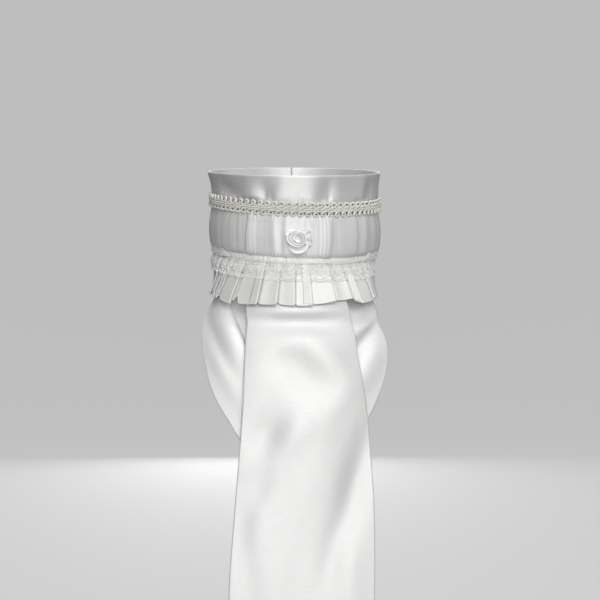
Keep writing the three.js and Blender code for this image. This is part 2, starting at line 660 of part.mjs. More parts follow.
function frontFall() {
  const reachLength = FALL_TOP - FALL_POINT;
  const face = (wall) => (u, v) => {
    const side = 2 * u - 1;
    const hem = lerp(FALL_POINT, FALL_SIDE_END, Math.abs(side) ** HEM_ROUNDNESS);
    const z = lerp(FALL_TOP, hem, v);
    const x = lerp(readTable(FALL_SIDES, 'z', z, 'left'), readTable(FALL_SIDES, 'z', z, 'right'), u);
    const free = smoothstep((FALL_TOP - z) / reachLength, 0, FALL_BLEND);
    const lift = FALL_LIFT * free;
    const folds = free * fallLift(FALL_FOLDS, x, z);
    const hung = underCollar(FALL_TOP_REACH * side, -wall);
    return hung.lerp(drapePoint(x, z, lift, folds - wall), free);
  };
  const { across, along } = FALL_GRID;
  return sheetSolid(steps(0, 1, across), steps(0, 1, along), face(0), face(FALL_WALL));
}

// The stand of a rolled edge: it rises within the roll's width and sinks slowly behind it
function rollShare(u) {
  const rise = Math.sqrt(1 - (1 - Math.min(u / TAIL_ROLL.width, 1)) ** 2);
  return rise * (1 - TAIL_ROLL.sink * smoothstep(u, TAIL_ROLL.width, 1));
}

function tail({ inset, lift, topInner, topOuter, across, edges, folds }) {
  const face = (wall) => (u, v) => {
    const edge = (column) => readTable(edges, 'step', v, column);
    const x = lerp(edge('innerX'), edge('outerX'), u);
    const z = lerp(edge('innerZ'), edge('outerZ'), u);
    const free = smoothstep(v, 0, TAIL_BLEND);
    const over = free * (fallLift(folds, x, z) + edge('roll') * rollShare(u)) - wall;
    const hung = underCollar(lerp(topInner, topOuter, u), -inset - wall);
    return hung.lerp(drapePoint(x, z, lift * free, over), free);
  };
  return sheetSolid(across, steps(0, 1, TAIL_ROWS), face(0), face(TAIL_WALL));
}

// Assembly

function piece(name, geometry, look) {
  const mesh = new THREE.Mesh(geometry, new THREE.MeshStandardMaterial(look));
  mesh.name = name;
  return mesh;
}

// The rose sits on the wrap, facing straight out of the collar
const rose = new THREE.Group();
const roseSeat = readTable(WRAP_PROFILE, 'level', ROSE.level, 'radius') + ROSE.seat;
rose.position.copy(hoopPoint(ROSE.deg, roseSeat, ROSE.level));
rose.rotation.set(Math.PI / 2, 0, 0);
rose.add(piece('rose_petals', rosePetals(), ROSE_WHITE), piece('rose_bud', roseBud(), ROSE_WHITE));

const collar = new THREE.Group();
collar.rotation.x = THREE.MathUtils.degToRad(COLLAR_TILT);
collar.add(
  piece('neck_band', neckBand(), SATIN),
  piece('pleated_wrap', pleatedWrap(), SATIN),
  piece('braid_trim', braidTrim(), IVORY),
  piece('heading_tape', headingTape(), SATIN),
  piece('frill_satin', frillSatin(), SATIN),
  piece('frill_lace', frillLace(), LACE_WHITE),
  piece('back_fastening', backFastening(), SATIN),
  rose,
);

const stock = new THREE.Group();
stock.add(
  collar,
  piece('front_fall', frontFall(), SATIN),
  piece('left_tail', tail(LEFT_TAIL), SATIN),
  piece('right_tail', tail(RIGHT_TAIL), SATIN),
);

export default stock;
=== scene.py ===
import math

import bpy
import numpy as np
from mathutils import Matrix, Vector


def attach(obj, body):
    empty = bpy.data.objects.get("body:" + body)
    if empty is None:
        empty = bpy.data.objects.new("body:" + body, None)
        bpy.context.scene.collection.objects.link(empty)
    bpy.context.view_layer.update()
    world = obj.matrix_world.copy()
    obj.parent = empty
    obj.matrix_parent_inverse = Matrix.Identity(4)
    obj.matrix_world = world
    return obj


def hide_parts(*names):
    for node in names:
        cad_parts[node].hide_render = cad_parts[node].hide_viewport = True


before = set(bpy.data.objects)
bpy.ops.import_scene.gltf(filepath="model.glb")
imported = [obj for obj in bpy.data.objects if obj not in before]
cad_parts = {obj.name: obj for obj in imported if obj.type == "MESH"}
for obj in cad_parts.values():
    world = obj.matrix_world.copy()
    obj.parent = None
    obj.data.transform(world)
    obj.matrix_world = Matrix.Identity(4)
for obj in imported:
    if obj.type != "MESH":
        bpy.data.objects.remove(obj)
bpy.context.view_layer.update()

# The looks of a ready-tied satin stock. Shapes are worked out in millimetres, as in the part's source,
# and become metres when a mesh is made. Degrees are counted round the neck from the front towards +X.
# Names of pairs: a FADE is a smoothstep's two ends, a BELL a bell's middle and width, a SPAN from and to.

MM = 0.001
NEVER_ZERO = 1e-9
GOLDEN = 2.399963  # the golden angle in radians: steps of it don't fall into a pattern


def table(columns, *rows):
    """Rows of numbers as dictionaries with the named columns"""
    return [dict(zip(columns.split(), row)) for row in rows]


def read(rows, key, column, at):
    """A smooth curve through one column of a table, read at one place or an array of places"""
    keys = np.array([row[key] for row in rows], float)
    values = np.array([row[column] for row in rows], float)
    before = np.maximum(np.arange(len(rows)) - 1, 0)
    after = np.minimum(np.arange(len(rows)) + 1, len(rows) - 1)
    slopes = (values[after] - values[before]) / (keys[after] - keys[before])
    place = np.clip(at, keys[0], keys[-1])
    low = np.clip(np.searchsorted(keys, place) - 1, 0, len(rows) - 2)
    span = keys[low + 1] - keys[low]
    rise = values[low + 1] - values[low]
    t = (place - keys[low]) / span
    leaving = slopes[low] * span - rise
    arriving = rise - slopes[low + 1] * span
    return values[low] + t * rise + t * (1 - t) * (leaving * (1 - t) + arriving * t)


def sin_deg(deg):
    return np.sin(np.radians(deg))


def cos_deg(deg):
    return np.cos(np.radians(deg))


def smoothstep(value, low, high):
    t = np.clip((value - low) / (high - low), 0, 1)
    return t * t * (3 - 2 * t)


def lerp(a, b, t):
    return a + (b - a) * t


def bell(value, middle=0, width=1):
    return np.exp(-((value - middle) / width) ** 2)


def unit(vectors):
    return vectors / np.maximum(np.linalg.norm(vectors, axis=-1, keepdims=True), NEVER_ZERO)


def lengths(points, axis):
    return np.linalg.norm(np.diff(points, axis=axis), axis=-1)


def running(values):
    return np.concatenate([[0], np.cumsum(values)])


def stack(*parts):
    return np.stack(np.broadcast_arrays(*parts), -1)


def grid(first, second):
    return np.meshgrid(first, second, indexing="ij")


def spread(across, up, counts):
    """A grid between two ends across and two ends up, with these counts of columns and rows"""
    return grid(np.linspace(*across, counts[0]), np.linspace(*up, counts[1]))


def uneven_wave(deg, rate, sway, slow):
    """A wave round the neck whose pitch widens and narrows"""
    return np.sin(deg * rate + sway * np.sin(deg * slow))


# Sizes of the collar and of what is sewn on it, close to those in the part's source

GAP = 0.3
COLLAR_TILT = 7.5
NARROWING = 3
LEAN_LEFT = 3
LEAN_RIGHT = 0.3
RIM_LEVEL = 28.25
RIM_ROUND = 0.8
BAND_TOP = 27.4
BAND_BOTTOM = -30.4
BAND_END = 180
BAND_WALL = 1.6
BRAID_LEVEL = 5.8
BRAID_WIDTH = 9
BRAID_TOP = BRAID_LEVEL + BRAID_WIDTH / 2
BRAID_INSIDE = 58
BRAID_END = 164.6
WRAP_TOP = 2.2
WRAP_BOTTOM = -26.1
WRAP_END = 164.9
TAPE_TOP = -26.4
TAPE_BOTTOM = -30
FRILL_LEVEL = -27.4
FRILL_OUTSIDE = 55.2

BAND_PROFILE = table(
    "level radius",
    (-30.4, 53.6), (-27.4, 53.8), (-26.1, 55), (-20, 56.9), (-13, 57.8), (-6, 57.4), (0, 55.7), (5, 55.4),
    (8.5, 56.8), (12, 57.8), (19, 58.4), (28.25, 60.1),
)
WRAP_PROFILE = table(
    "level radius",
    (-28, 55.6), (-27, 56.3), (-26.3, 57.3), (-25.2, 58.3), (-23, 59), (-19, 59.3), (-13, 59.5), (-6, 59),
    (0, 57.8), (3, 57),
)

# Soft dents and swells of the smooth upper collar
BAND_FOLDS = table(
    "deg level wide tall lift",
    (-90, 28, 30, 12, 1.0), (-60, 19, 6, 11, -0.8), (-54, 14, 9, 6.5, -2.2), (-34, 13, 6.5, 11, 1.8),
    (-22.8, 13, 4.4, 8, -1.1), (-12, 16, 7, 11, 0.9), (6, 17, 8, 12, 0.6), (19.5, 15, 5.5, 12, -1.5),
    (27.5, 11, 4, 6, 0.3), (34, 12, 2.6, 6, 0.15), (47, 19, 8, 9, 0.9), (41, 11, 2, 5, 0.3),
    (48, 11.5, 2.4, 5, 0.3), (57, 16, 6, 10, -1.0), (74, 17, 7, 12, 0.5), (90, 28, 30, 12, -0.9),
)

# The wrap's upright gathers. left and right are the half-widths of each ridge's two slopes.
WRAP_GATHERS = table(
    "deg left right lift",
    (-84, 4, 3, 0.35), (-76, 2.5, 4, 0.35), (-66, 3, 3.5, 0.3), (-57, 2.4, 3, 0.22),
    (-49, 3, 2.2, 0.28), (-41, 2.6, 2.2, 0.2), (-34.6, 1.2, 5.2, 1.8), (-16, 3.2, 2.4, 0.75),
    (-8.5, 1.8, 4, 0.7), (2, 2.8, 2.6, 0.2), (9, 2.8, 2.4, 0.3), (20.8, 7, 1.5, 1.6),
    (30, 3.2, 3.2, 0.3), (40.5, 7.5, 2.6, 1.1), (51, 3.2, 3.6, 0.7), (64, 3, 3, 0.55),
    (74, 3, 3.5, 0.45), (84, 3.5, 3.5, 0.4),
)

# Knife pleats: folded edge, its height, the drop to the hem and how far back the next fold starts
PLEATS = table(
    "edge depth drop back",
    (-98, 0, 29.5, 0), (-89, 1.6, 29.5, 0), (-80, 1.8, 29.5, 0), (-71.5, 2, 29.5, 0),
    (-63.5, 2, 29.2, 0), (-55.6, 2.2, 29, 0), (-49, 2.2, 29.4, 0), (-38.7, 2.6, 31, 2.4),
    (-22.7, 2.4, 29.4, 0), (-12.1, 2.2, 28.6, 0), (-2.5, 2.2, 28.9, 0), (6.9, 2.2, 28.4, 0),
    (20.7, 2.4, 26, 0), (30.6, 2.4, 25.2, 0.5), (37, 1.9, 28.6, 0), (47, 1.5, 28, 0),
    (56, 1.3, 27.5, 0), (64.5, 1.2, 27.5, 0), (73, 1.3, 27.5, 0), (81.5, 1.4, 27.5, 0),
    (90, 1.6, 27.5, 0), (98, 0, 27.5, 0),
)


# Meshes from grids of points

EDGE_ROUND = 0.4  # how far a sheet's edge bulges, as a share of its wall


def placed(name, data):
    """A new object in the scene"""
    obj = bpy.data.objects.new(name, data)
    bpy.context.scene.collection.objects.link(obj)
    return obj


def mesh_object(name, points, faces, uvs):
    """A smooth mesh object from points in millimetres, with one UV place for each point"""
    mesh = bpy.data.meshes.new(name)
    mesh.from_pydata((points * MM).tolist(), [], [tuple(face) for face in faces])
    layer = mesh.uv_layers.new(name="UVMap")
    corners = np.empty(len(mesh.loops), dtype=np.int32)
    mesh.loops.foreach_get("vertex_index", corners)
    layer.data.foreach_set("uv", (uvs[corners] * MM).ravel())
    mesh.polygons.foreach_set("use_smooth", [True] * len(mesh.polygons))
    return placed(name, mesh)


def grid_quads(columns, rows, start=0, turned=False):
    """Quads between the neighbouring points of a grid that is stored column by column"""
    i, j = grid(np.arange(columns - 1), np.arange(rows - 1))
    a = (start + i * rows + j).ravel()
    quads = stack(a, a + rows, a + rows + 1, a + 1)
    return quads[:, ::-1] if turned else quads


def grid_normals(points):
    along = np.gradient(points, axis=0)
    up = np.gradient(points, axis=1)
    return unit(np.cross(along, up))


def cloth(name, points, wall, uvs):
    """A closed sheet of cloth under a grid of points, as thick as wall, with rounded edges.
    The grid's columns run to the right and its rows upwards, as seen from outside."""
    columns, rows = points.shape[:2]
    inner = points - wall * grid_normals(points)
    along = unit(np.gradient(points, axis=0))
    up = unit(np.gradient(points, axis=1))
    sides = [(i, 0, -up[i, 0]) for i in range(columns - 1)]
    sides += [(columns - 1, j, along[-1, j]) for j in range(rows - 1)]
    sides += [(i, rows - 1, up[i, -1]) for i in range(columns - 1, 0, -1)]
    sides += [(0, j, -along[0, j]) for j in range(rows - 1, 0, -1)]
    rim = [(points[i, j] + inner[i, j]) / 2 + EDGE_ROUND * wall * out for i, j, out in sides]
    count = columns * rows
    faces = list(grid_quads(columns, rows)) + list(grid_quads(columns, rows, count, turned=True))
    for k, (i, j, _) in enumerate(sides):
        next_k = (k + 1) % len(sides)
        next_i, next_j, _ = sides[next_k]
        here, there = i * rows + j, next_i * rows + next_j
        mid, next_mid = 2 * count + k, 2 * count + next_k
        faces.append((here, mid, next_mid, there))
        faces.append((mid, here + count, there + count, next_mid))
    flat_uvs = uvs.reshape(-1, 2)
    rim_uvs = [uvs[i, j] for i, j, _ in sides]
    all_points = np.concatenate([points.reshape(-1, 3), inner.reshape(-1, 3), rim])
    return mesh_object(name, all_points, faces, np.concatenate([flat_uvs, flat_uvs, rim_uvs]))


def tube_parts(path, side_way, radius, sides, closed=False):
    """Points, faces and UVs of a tube along a path. side_way is never along the path."""
    count = len(path)
    if closed:
        ahead = np.roll(path, -1, axis=0) - np.roll(path, 1, axis=0)
    else:
        ahead = np.gradient(path, axis=0)
    ahead = unit(ahead)
    first = unit(side_way - ahead * np.sum(side_way * ahead, axis=-1, keepdims=True))
    second = np.cross(ahead, first)
    turns = (np.arange(sides) * 2 * np.pi / sides)[:, None]
    ring = first[:, None] * np.cos(turns) + second[:, None] * np.sin(turns)
    points = path[:, None] + ring * radius
    length = running(lengths(path, 0))
    uvs = stack(length[:, None], np.arange(sides))
    steps = count if closed else count - 1
    i, k = grid(np.arange(steps), np.arange(sides))
    here, there = i * sides, (i + 1) % count * sides
    side = (k + 1) % sides
    faces = list(stack(here + k, here + side, there + side, there + k).reshape(-1, 4))
    if not closed:
        faces.append(tuple(range(sides))[::-1])
        faces.append(tuple(range((count - 1) * sides, count * sides)))
    return points.reshape(-1, 3), faces, uvs.reshape(-1, 2)


def joined(name, parts):
    """One mesh object from several lots of points, faces and UVs"""
    points, faces, uvs, start = [], [], [], 0
    for part_points, part_faces, part_uvs in parts:
        points.append(part_points)
        uvs.append(part_uvs)
        faces.extend(tuple(int(index) + start for index in face) for face in part_faces)
        start += len(part_points)
    return mesh_object(name, np.concatenate(points), faces, np.concatenate(uvs))


# Places on the collar

def tilted(points):
    """Turns points of the upright collar by its tilt about the X axis"""
    x, y, z = np.moveaxis(points, -1, 0)
    sine, cosine = sin_deg(COLLAR_TILT), cos_deg(COLLAR_TILT)
    return stack(x, y * cosine - z * sine, y * sine + z * cosine)


def upright_hoop(deg, radius, level):
    """Points on a hoop round the neck. Levels below the braid's top follow its lean."""
    share = np.clip((RIM_LEVEL - level) / (RIM_LEVEL - BRAID_TOP), 0, 1)
    sine = sin_deg(deg)
    lean = 0.5 * (LEAN_LEFT - LEAN_RIGHT) * sine ** 2 - 0.5 * (LEAN_LEFT + LEAN_RIGHT) * sine
    return stack(radius * sine, -(radius - NARROWING) * cos_deg(deg), level + share * lean)


def hoop(deg, radius, level):
    return tilted(upright_hoop(deg, radius, level))


def hoop_normal(deg):
    return tilted(stack(sin_deg(deg), -cos_deg(deg), 0))


def round_uv(deg, level):
    return stack(np.radians(deg) * FRILL_OUTSIDE, level)


def profile(rows, level):
    return read(rows, "level", "radius", level)


def swells(rows, deg, level):
    """Lift of soft dents and swells"""
    total = 0
    for row in rows:
        across = row["lift"] * bell(deg, row["deg"], row["wide"])
        total = total + across * bell(level, row["level"], row["tall"])
    return total


def round_cloth(name, deg, radius, level, wall):
    return cloth(name, hoop(deg, radius, level), wall, round_uv(deg, level))


# Neck band

FOLDS_FADE = 3
PUCKER_LIFT = 0.16
PUCKER_WAVE = (0.83, 1.7, 0.31)
PUCKERS_BELL = (1.5, 4.5)


def band_radius(deg, level):
    free = smoothstep(level, BRAID_TOP, BRAID_TOP + FOLDS_FADE)
    puckers = PUCKER_LIFT * uneven_wave(deg, *PUCKER_WAVE) * bell(level - BRAID_TOP, *PUCKERS_BELL)
    return profile(BAND_PROFILE, level) + free * swells(BAND_FOLDS, deg, level) + puckers


def neck_band():
    """One closed wall round the neck: its outside, its rounded rim and its inside"""
    lower = np.linspace(BAND_BOTTOM, BRAID_LEVEL, 20)
    upper = np.linspace(BRAID_LEVEL + 1, BAND_TOP, 26)
    turn = np.linspace(0, 180, 9)[1:-1]
    half = BAND_WALL / 2
    columns = np.linspace(-BAND_END, BAND_END, 420)
    deg, level = grid(columns, np.concatenate([lower, upper]))
    outside = hoop(deg, band_radius(deg, level), level)
    deg, angle = grid(columns, turn)
    rim_radius = band_radius(deg, BAND_TOP) - half + half * cos_deg(angle)
    over = hoop(deg, rim_radius, BAND_TOP + RIM_ROUND * sin_deg(angle))
    deg, level = grid(columns, np.linspace(BAND_TOP, BAND_BOTTOM, 18))
    inside = hoop(deg, band_radius(deg, level) - BAND_WALL, level)
    points = np.concatenate([outside, over, inside], axis=1)
    count, rows = points.shape[:2]
    faces = list(grid_quads(count, rows))
    for i in range(count - 1):
        faces.append((i * rows + rows - 1, (i + 1) * rows + rows - 1, (i + 1) * rows, i * rows))
    faces.append(tuple(range(rows)))
    faces.append(tuple(range((count - 1) * rows, count * rows))[::-1])
    deg, up = grid(columns, running(lengths(points, 1).mean(axis=0)))
    return mesh_object("neck_band_satin", points.reshape(-1, 3), faces, round_uv(deg, up).reshape(-1, 2))


# Gathered wrap

WRAP_HEM = -27.6
WRAP_WALL = 0.9
WRAP_SWELLS = table("deg level wide tall lift", (0, 0.5, 50, 4, 0.9))
GATHER_FADE = 0.55
GATHER_LEAN = 0.9
GATHER_TAPER = 0.25
GATHER_PHASE = 1.3
EVEN_FROM = 84
EVEN_STEP = 9
EVEN_SWAY = 1.4
EVEN_WIDE = 2.6
EVEN_LIFT = 0.45
EVEN_END = 12
FINE_LIFT = 0.07
FINE_WAVE = (1.9, 2.2, 0.37)
FINE_MEAN = 0.6
FINE_SWING = 0.4
SWING_RATE = 0.11
TIGHT_LIFT = 0.12
TIGHT_WAVE = (3.1, 1.3, 0.53)
TIGHT_REACH = 0.22


def gather_lift(deg, level):
    """Upright gathers: each leans a little and fades towards the seams, where the cloth is drawn tight"""
    middle = (WRAP_TOP + WRAP_BOTTOM) / 2
    to_edge = (level - middle) / (WRAP_TOP - middle)
    fade = 1 - GATHER_FADE * np.clip(np.abs(to_edge), 0, 1) ** 2
    total = np.zeros_like(deg)
    for k, ridge in enumerate(WRAP_GATHERS):
        across = deg - (ridge["deg"] + GATHER_LEAN * to_edge * np.sin(k * GOLDEN))
        wide = np.where(across < 0, ridge["left"], ridge["right"])
        taper = 1 + GATHER_TAPER * to_edge * np.cos(GATHER_PHASE * k)
        total += ridge["lift"] * bell(across / wide) * taper
    past = np.abs(deg) - EVEN_FROM
    number = np.round(past / EVEN_STEP)
    shift = past - EVEN_STEP * number + EVEN_SWAY * np.sin(number * GOLDEN)
    ends = smoothstep(WRAP_END - np.abs(deg), 0, EVEN_END)
    even = EVEN_LIFT * bell(shift / EVEN_WIDE) * ends
    total += np.where(past > EVEN_STEP / 2, even, 0)
    swing = FINE_MEAN + FINE_SWING * np.sin(deg * SWING_RATE)
    fine = FINE_LIFT * uneven_wave(deg, *FINE_WAVE) * swing
    at_seams = bell(to_edge, 1, TIGHT_REACH) + bell(to_edge, -1, TIGHT_REACH)
    tight = TIGHT_LIFT * uneven_wave(deg, *TIGHT_WAVE) * at_seams
    return fade * (total + fine) + tight


def gathered_wrap():
    deg, level = spread((-WRAP_END, WRAP_END), (WRAP_HEM, WRAP_TOP), (900, 44))
    radius = profile(WRAP_PROFILE, level) + swells(WRAP_SWELLS, deg, level) + gather_lift(deg, level)
    return round_cloth("gathered_wrap", deg, radius, level, WRAP_WALL)


# Gimp braid

LOOP_PITCH = 4.95
LOOP_REACH = 2.55
LOOP_RISE = 1.62
LOOP_BASE = 1.05
LOOP_CORD = 0.78
LOOP_OUT = 0.8
LOOP_OVER = 0.5
LOOP_STEPS = 26
TWIST_PITCH = 3.4
TWIST_REACH = 0.36
TWIST_OUT = 1.15
TWIST_CORD = 0.42


def loop_row(side):
    """One row of scrolls: a cord that runs along the middle and curls back over itself outside it"""
    loops = int(2 * BRAID_END / LOOP_PITCH)
    turn = np.linspace(0, loops * 2 * np.pi, loops * LOOP_STEPS + 1)
    along = (turn / (2 * np.pi) - loops / 2) * LOOP_PITCH + LOOP_PITCH / 4 * side
    deg = along + LOOP_REACH * np.sin(turn)
    level = BRAID_LEVEL + side * (LOOP_BASE + LOOP_RISE * (1 - np.cos(turn)))
    radius = BRAID_INSIDE + LOOP_OUT + side * LOOP_OVER * np.sin(turn)
    return tube_parts(hoop(deg, radius, level), hoop_normal(deg), LOOP_CORD, sides=8)


def centre_cord(start):
    """One of the two cords that twist round each other between the rows"""
    deg = np.linspace(-BRAID_END, BRAID_END, 1800)
    turn = np.radians(deg * 360 / TWIST_PITCH) + start
    level = BRAID_LEVEL + TWIST_REACH * np.sin(turn)
    radius = BRAID_INSIDE + TWIST_OUT + TWIST_REACH * np.cos(turn)
    return tube_parts(hoop(deg, radius, level), hoop_normal(deg), TWIST_CORD, sides=6)


def braid():
    return joined("gimp_braid", [loop_row(1), loop_row(-1), centre_cord(0), centre_cord(np.pi)])


# Heading tape with its two lines of stitches

TAPE_REACH = 98
TAPE_OUTSIDE = 56.98
TAPE_WALL = 0.8
TAPE_MIDDLE = (TAPE_TOP + TAPE_BOTTOM) / 2
TAPE_PAD = 0.1
TAPE_RIPPLE = 0.1
TAPE_WAVE = (1.3, 1.4, 0.27)
TAPE_CREASES = (-58, -44, -34, -22, -9, 10.5, 22.5, 34, 47)
CREASE_DEPTH = 0.18
CREASE_WIDE = 0.6
TAPE_STITCH = 1.1
TAPE_SPAN = (-96, 96.5)
GROOVE_DEPTH = 0.14
GROOVE_WIDE = 0.25
STITCH_THREAD = 0.17
STITCH_LENGTH = 1.55
STITCH_PITCH = 2.1
STITCH_SINK = 0.16
STITCH_OVER = 0.05
STITCH_POINTS = 5


def tape_radius(deg, level):
    """The tape is padded in the middle, sunk along its stitches and creased here and there"""
    to_edge = (level - TAPE_MIDDLE) / (TAPE_TOP - TAPE_MIDDLE)
    pad = TAPE_PAD * (1 - to_edge ** 2)
    pad = pad - GROOVE_DEPTH * bell(np.abs(level - TAPE_MIDDLE), TAPE_STITCH, GROOVE_WIDE)
    ripple = TAPE_RIPPLE * uneven_wave(deg, *TAPE_WAVE)
    creases = sum(CREASE_DEPTH * bell(deg, crease, CREASE_WIDE) for crease in TAPE_CREASES)
    return TAPE_OUTSIDE + pad + ripple - creases


def heading_tape():
    deg, level = spread((-TAPE_REACH, TAPE_REACH), (TAPE_BOTTOM, TAPE_TOP), (700, 19))
    return round_cloth("heading_tape_satin", deg, tape_radius(deg, level), level, TAPE_WALL)


def stitch_line(place, start, end, length=STITCH_LENGTH):
    """Short threads along a line. place gives points on the cloth and the ways out of it there."""
    parts = []
    sunk = STITCH_SINK * (np.linspace(-1, 1, STITCH_POINTS) ** 2)
    for middle in np.arange(start, end, STITCH_PITCH):
        points, outwards = place(middle + np.linspace(-length / 2, length / 2, STITCH_POINTS))
        parts.append(tube_parts(points - outwards * sunk[:, None], outwards, STITCH_THREAD, sides=5))
    return parts


def tape_stitches():
    parts = []
    for level in (TAPE_MIDDLE - TAPE_STITCH, TAPE_MIDDLE + TAPE_STITCH):
        parts += stitch_line(
            lambda deg: (hoop(deg, tape_radius(deg, level) + STITCH_OVER, level), hoop_normal(deg)),
            *TAPE_SPAN,
        )
    return joined("tape_stitches", parts)


# Pleated frill

FRILL_WALL = 0.42
FRILL_HEADING = 2.9
FRILL_FLARE = 0.635
LEFT_FLARE = 0.03
RIGHT_FLARE = -0.06
LEFT_FADE = (44, 88)
RIGHT_FADE = (36, 88)
PLEAT_OPENING = 13
PLEAT_BELLY = 0.8
STAND = 0.55
STAND_GAIN = 0.2
STAND_FADE = (-50, -20)
PANEL_SAG = 1.05
SAG_SKEW = 0.45
SAG_SPREAD = 0.35
SAG_PHASE = 2.3
HEM_BOW = 0.45
NOTCH_LIFT = 5.6
NOTCH_BACK = 2
NOTCH_PLACE = 0.12
NOTCH_HALF = 0.13
STACK = 0.72
STACK_STEP = 0.2
UNDER_LIMIT = 4.6
HIDDEN_DEPTH = 1.4
HIDDEN_FADE = (-1.2, 0.4)
HIDDEN_HEM = 0.9
PANEL_STEPS = 22
BACK_STEPS = 9
BACK_BELOW = 0.5
BACK_BULGE = 0.12
BEND_REACH = 0.2
BEND_SHARE = 0.12
TUCK_DEPTH = 0.45
TUCK_FADE = (1.5, 5)
SWELL_LIFT = 1.8
SWELL_DEG_FADE = (52, 80)
SWELL_DROP_FADE = (2.5, 7)
SWELL_BELL = (10, 7)
HEM_ZONE = 2.4
HEM_ROWS = 9
ROW_SPREAD = 0.9
ROLL_LIFT = 0.1
CREST_BELL = (0.5, 0.5)
GROOVE_BELL = (1.6, 0.35)
CURL_LIFT = 0.5
WAVE_LIFT = 0.22
WAVE_RATE = 0.42


def pleat_shape(k, deg):
    """Height of pleat k's outer panel over the cone, at places that may lie under the pleat before it"""
    before, pleat = PLEATS[k - 1], PLEATS[k]
    across = np.clip((deg - before["edge"]) / (pleat["edge"] - before["edge"]), 0, 1)
    height = pleat["depth"] * (STAND + STAND_GAIN * smoothstep(pleat["edge"], *STAND_FADE))
    skewed = across ** (1 + SAG_SKEW * np.sin(k * GOLDEN))
    dent = np.sin(np.pi * skewed) * (1 + SAG_SPREAD * np.cos(SAG_PHASE * k))
    return lerp(-before["back"], height, across ** PLEAT_BELLY) - PANEL_SAG * dent


def pleat_hem(k, deg):
    """Drop to the hem along pleat k, lifted where the deep fold shows"""
    before, pleat = PLEATS[k - 1], PLEATS[k]
    share = np.clip((deg - before["edge"]) / (pleat["edge"] - before["edge"]), 0, 1)
    depth = min(1, before["back"] / NOTCH_BACK)
    notch = np.clip(1 - np.abs(share - NOTCH_PLACE) / NOTCH_HALF, 0, 1) * depth
    bow = HEM_BOW * np.sin(np.pi * share)
    return lerp(before["drop"], pleat["drop"], share) + bow - NOTCH_LIFT * notch


def under_width(k):
    """Degrees that the cloth turns back under the folded edge of pleat k"""
    if PLEATS[k]["depth"] == 0:
        return 0
    return min(UNDER_LIMIT, 0.5 * (PLEATS[k]["edge"] - PLEATS[k - 1]["edge"]))


def frill_path():
    """The folded line of cloth: place, height when open and when flat, drop to the hem and pleat number"""
    runs = []
    for k in range(1, len(PLEATS)):
        start, edge = PLEATS[k - 1]["edge"], PLEATS[k]["edge"]
        panel = np.linspace(start - under_width(k - 1), edge, PANEL_STEPS)
        hidden = smoothstep(start - panel, *HIDDEN_FADE)
        open_lift = pleat_shape(k, panel) - HIDDEN_DEPTH * hidden
        flat_lift = STACK * smoothstep(panel, start, edge)
        hem = pleat_hem(k, panel) - HIDDEN_HEM * hidden
        runs.append((panel, open_lift, flat_lift, hem, np.full(PANEL_STEPS, k)))
        t = np.linspace(0, 1, BACK_STEPS)
        back = np.linspace(edge, edge - under_width(k), BACK_STEPS)
        bent = back + BEND_REACH * bell(t / BEND_SHARE) - BEND_REACH * bell((1 - t) / BEND_SHARE)
        end_lift = -PLEATS[k]["back"] - 0.5 * HIDDEN_DEPTH
        open_lift = lerp(pleat_shape(k, edge) - BACK_BELOW, end_lift, t) - np.sin(np.pi * t) * BACK_BULGE
        flat_lift = lerp(STACK - STACK_STEP, STACK / 2, t)
        runs.append((bent, open_lift, flat_lift, pleat_hem(k, back) - HIDDEN_HEM, np.full(BACK_STEPS, k)))
    return [np.concatenate(part) for part in zip(*runs[:-1])]


def frill_place(deg, drop, open_lift, flat_lift, over=0):
    """A point of the frill: the cone at this drop, plus the pleat's height there"""
    opened = np.maximum(0, drop - FRILL_HEADING)
    left = smoothstep(-deg, *LEFT_FADE)
    right = smoothstep(deg, *RIGHT_FADE)
    flare = lerp(lerp(FRILL_FLARE, LEFT_FLARE, left), RIGHT_FLARE, right) * opened
    share = smoothstep(opened, 0, PLEAT_OPENING)
    tucked = -TUCK_DEPTH * (1 - smoothstep(drop, *TUCK_FADE))
    swell = SWELL_LIFT * smoothstep(-deg, *SWELL_DEG_FADE) * bell(drop, *SWELL_BELL)
    swell = swell * smoothstep(drop, *SWELL_DROP_FADE)
    radius = FRILL_OUTSIDE + flare + swell + lerp(flat_lift, open_lift, share) + tucked + over
    return hoop(deg, radius, FRILL_LEVEL - drop)


def frill():
    """The frill's sheet, with its closest rows at the rolled hem, and the cloth's length just above it"""
    deg, open_lift, flat_lift, hem, number = frill_path()
    near_hem = np.linspace(0, HEM_ZONE, HEM_ROWS)
    beyond = (np.linspace(0, 1, 25) ** ROW_SPREAD)[1:]
    higher = HEM_ZONE + (hem[:, None] - HEM_ZONE) * beyond
    rise = np.concatenate([np.tile(near_hem, (len(hem), 1)), higher], axis=1)
    t = rise.mean(axis=0) / rise[:, -1].mean()
    drop = hem[:, None] - rise
    rolled = ROLL_LIFT * bell(rise, *CREST_BELL) - ROLL_LIFT * bell(rise, *GROOVE_BELL)
    phase = number * GOLDEN
    curl = CURL_LIFT * np.sin(phase)[:, None] * (1 - t[None]) ** 2
    wave = WAVE_LIFT * np.sin(WAVE_RATE * drop + phase[:, None])
    opening = smoothstep(drop, FRILL_HEADING, FRILL_HEADING + PLEAT_OPENING)
    lifted = open_lift[:, None] + (wave + curl) * opening + rolled
    points = frill_place(deg[:, None], drop, lifted, flat_lift[:, None])
    run = running(lengths(points[:, HEM_ROWS - 1], 0))
    return cloth("frill_satin_pleats", points, FRILL_WALL, stack(run[:, None], -drop)), run[-1]


# Lace over the frill

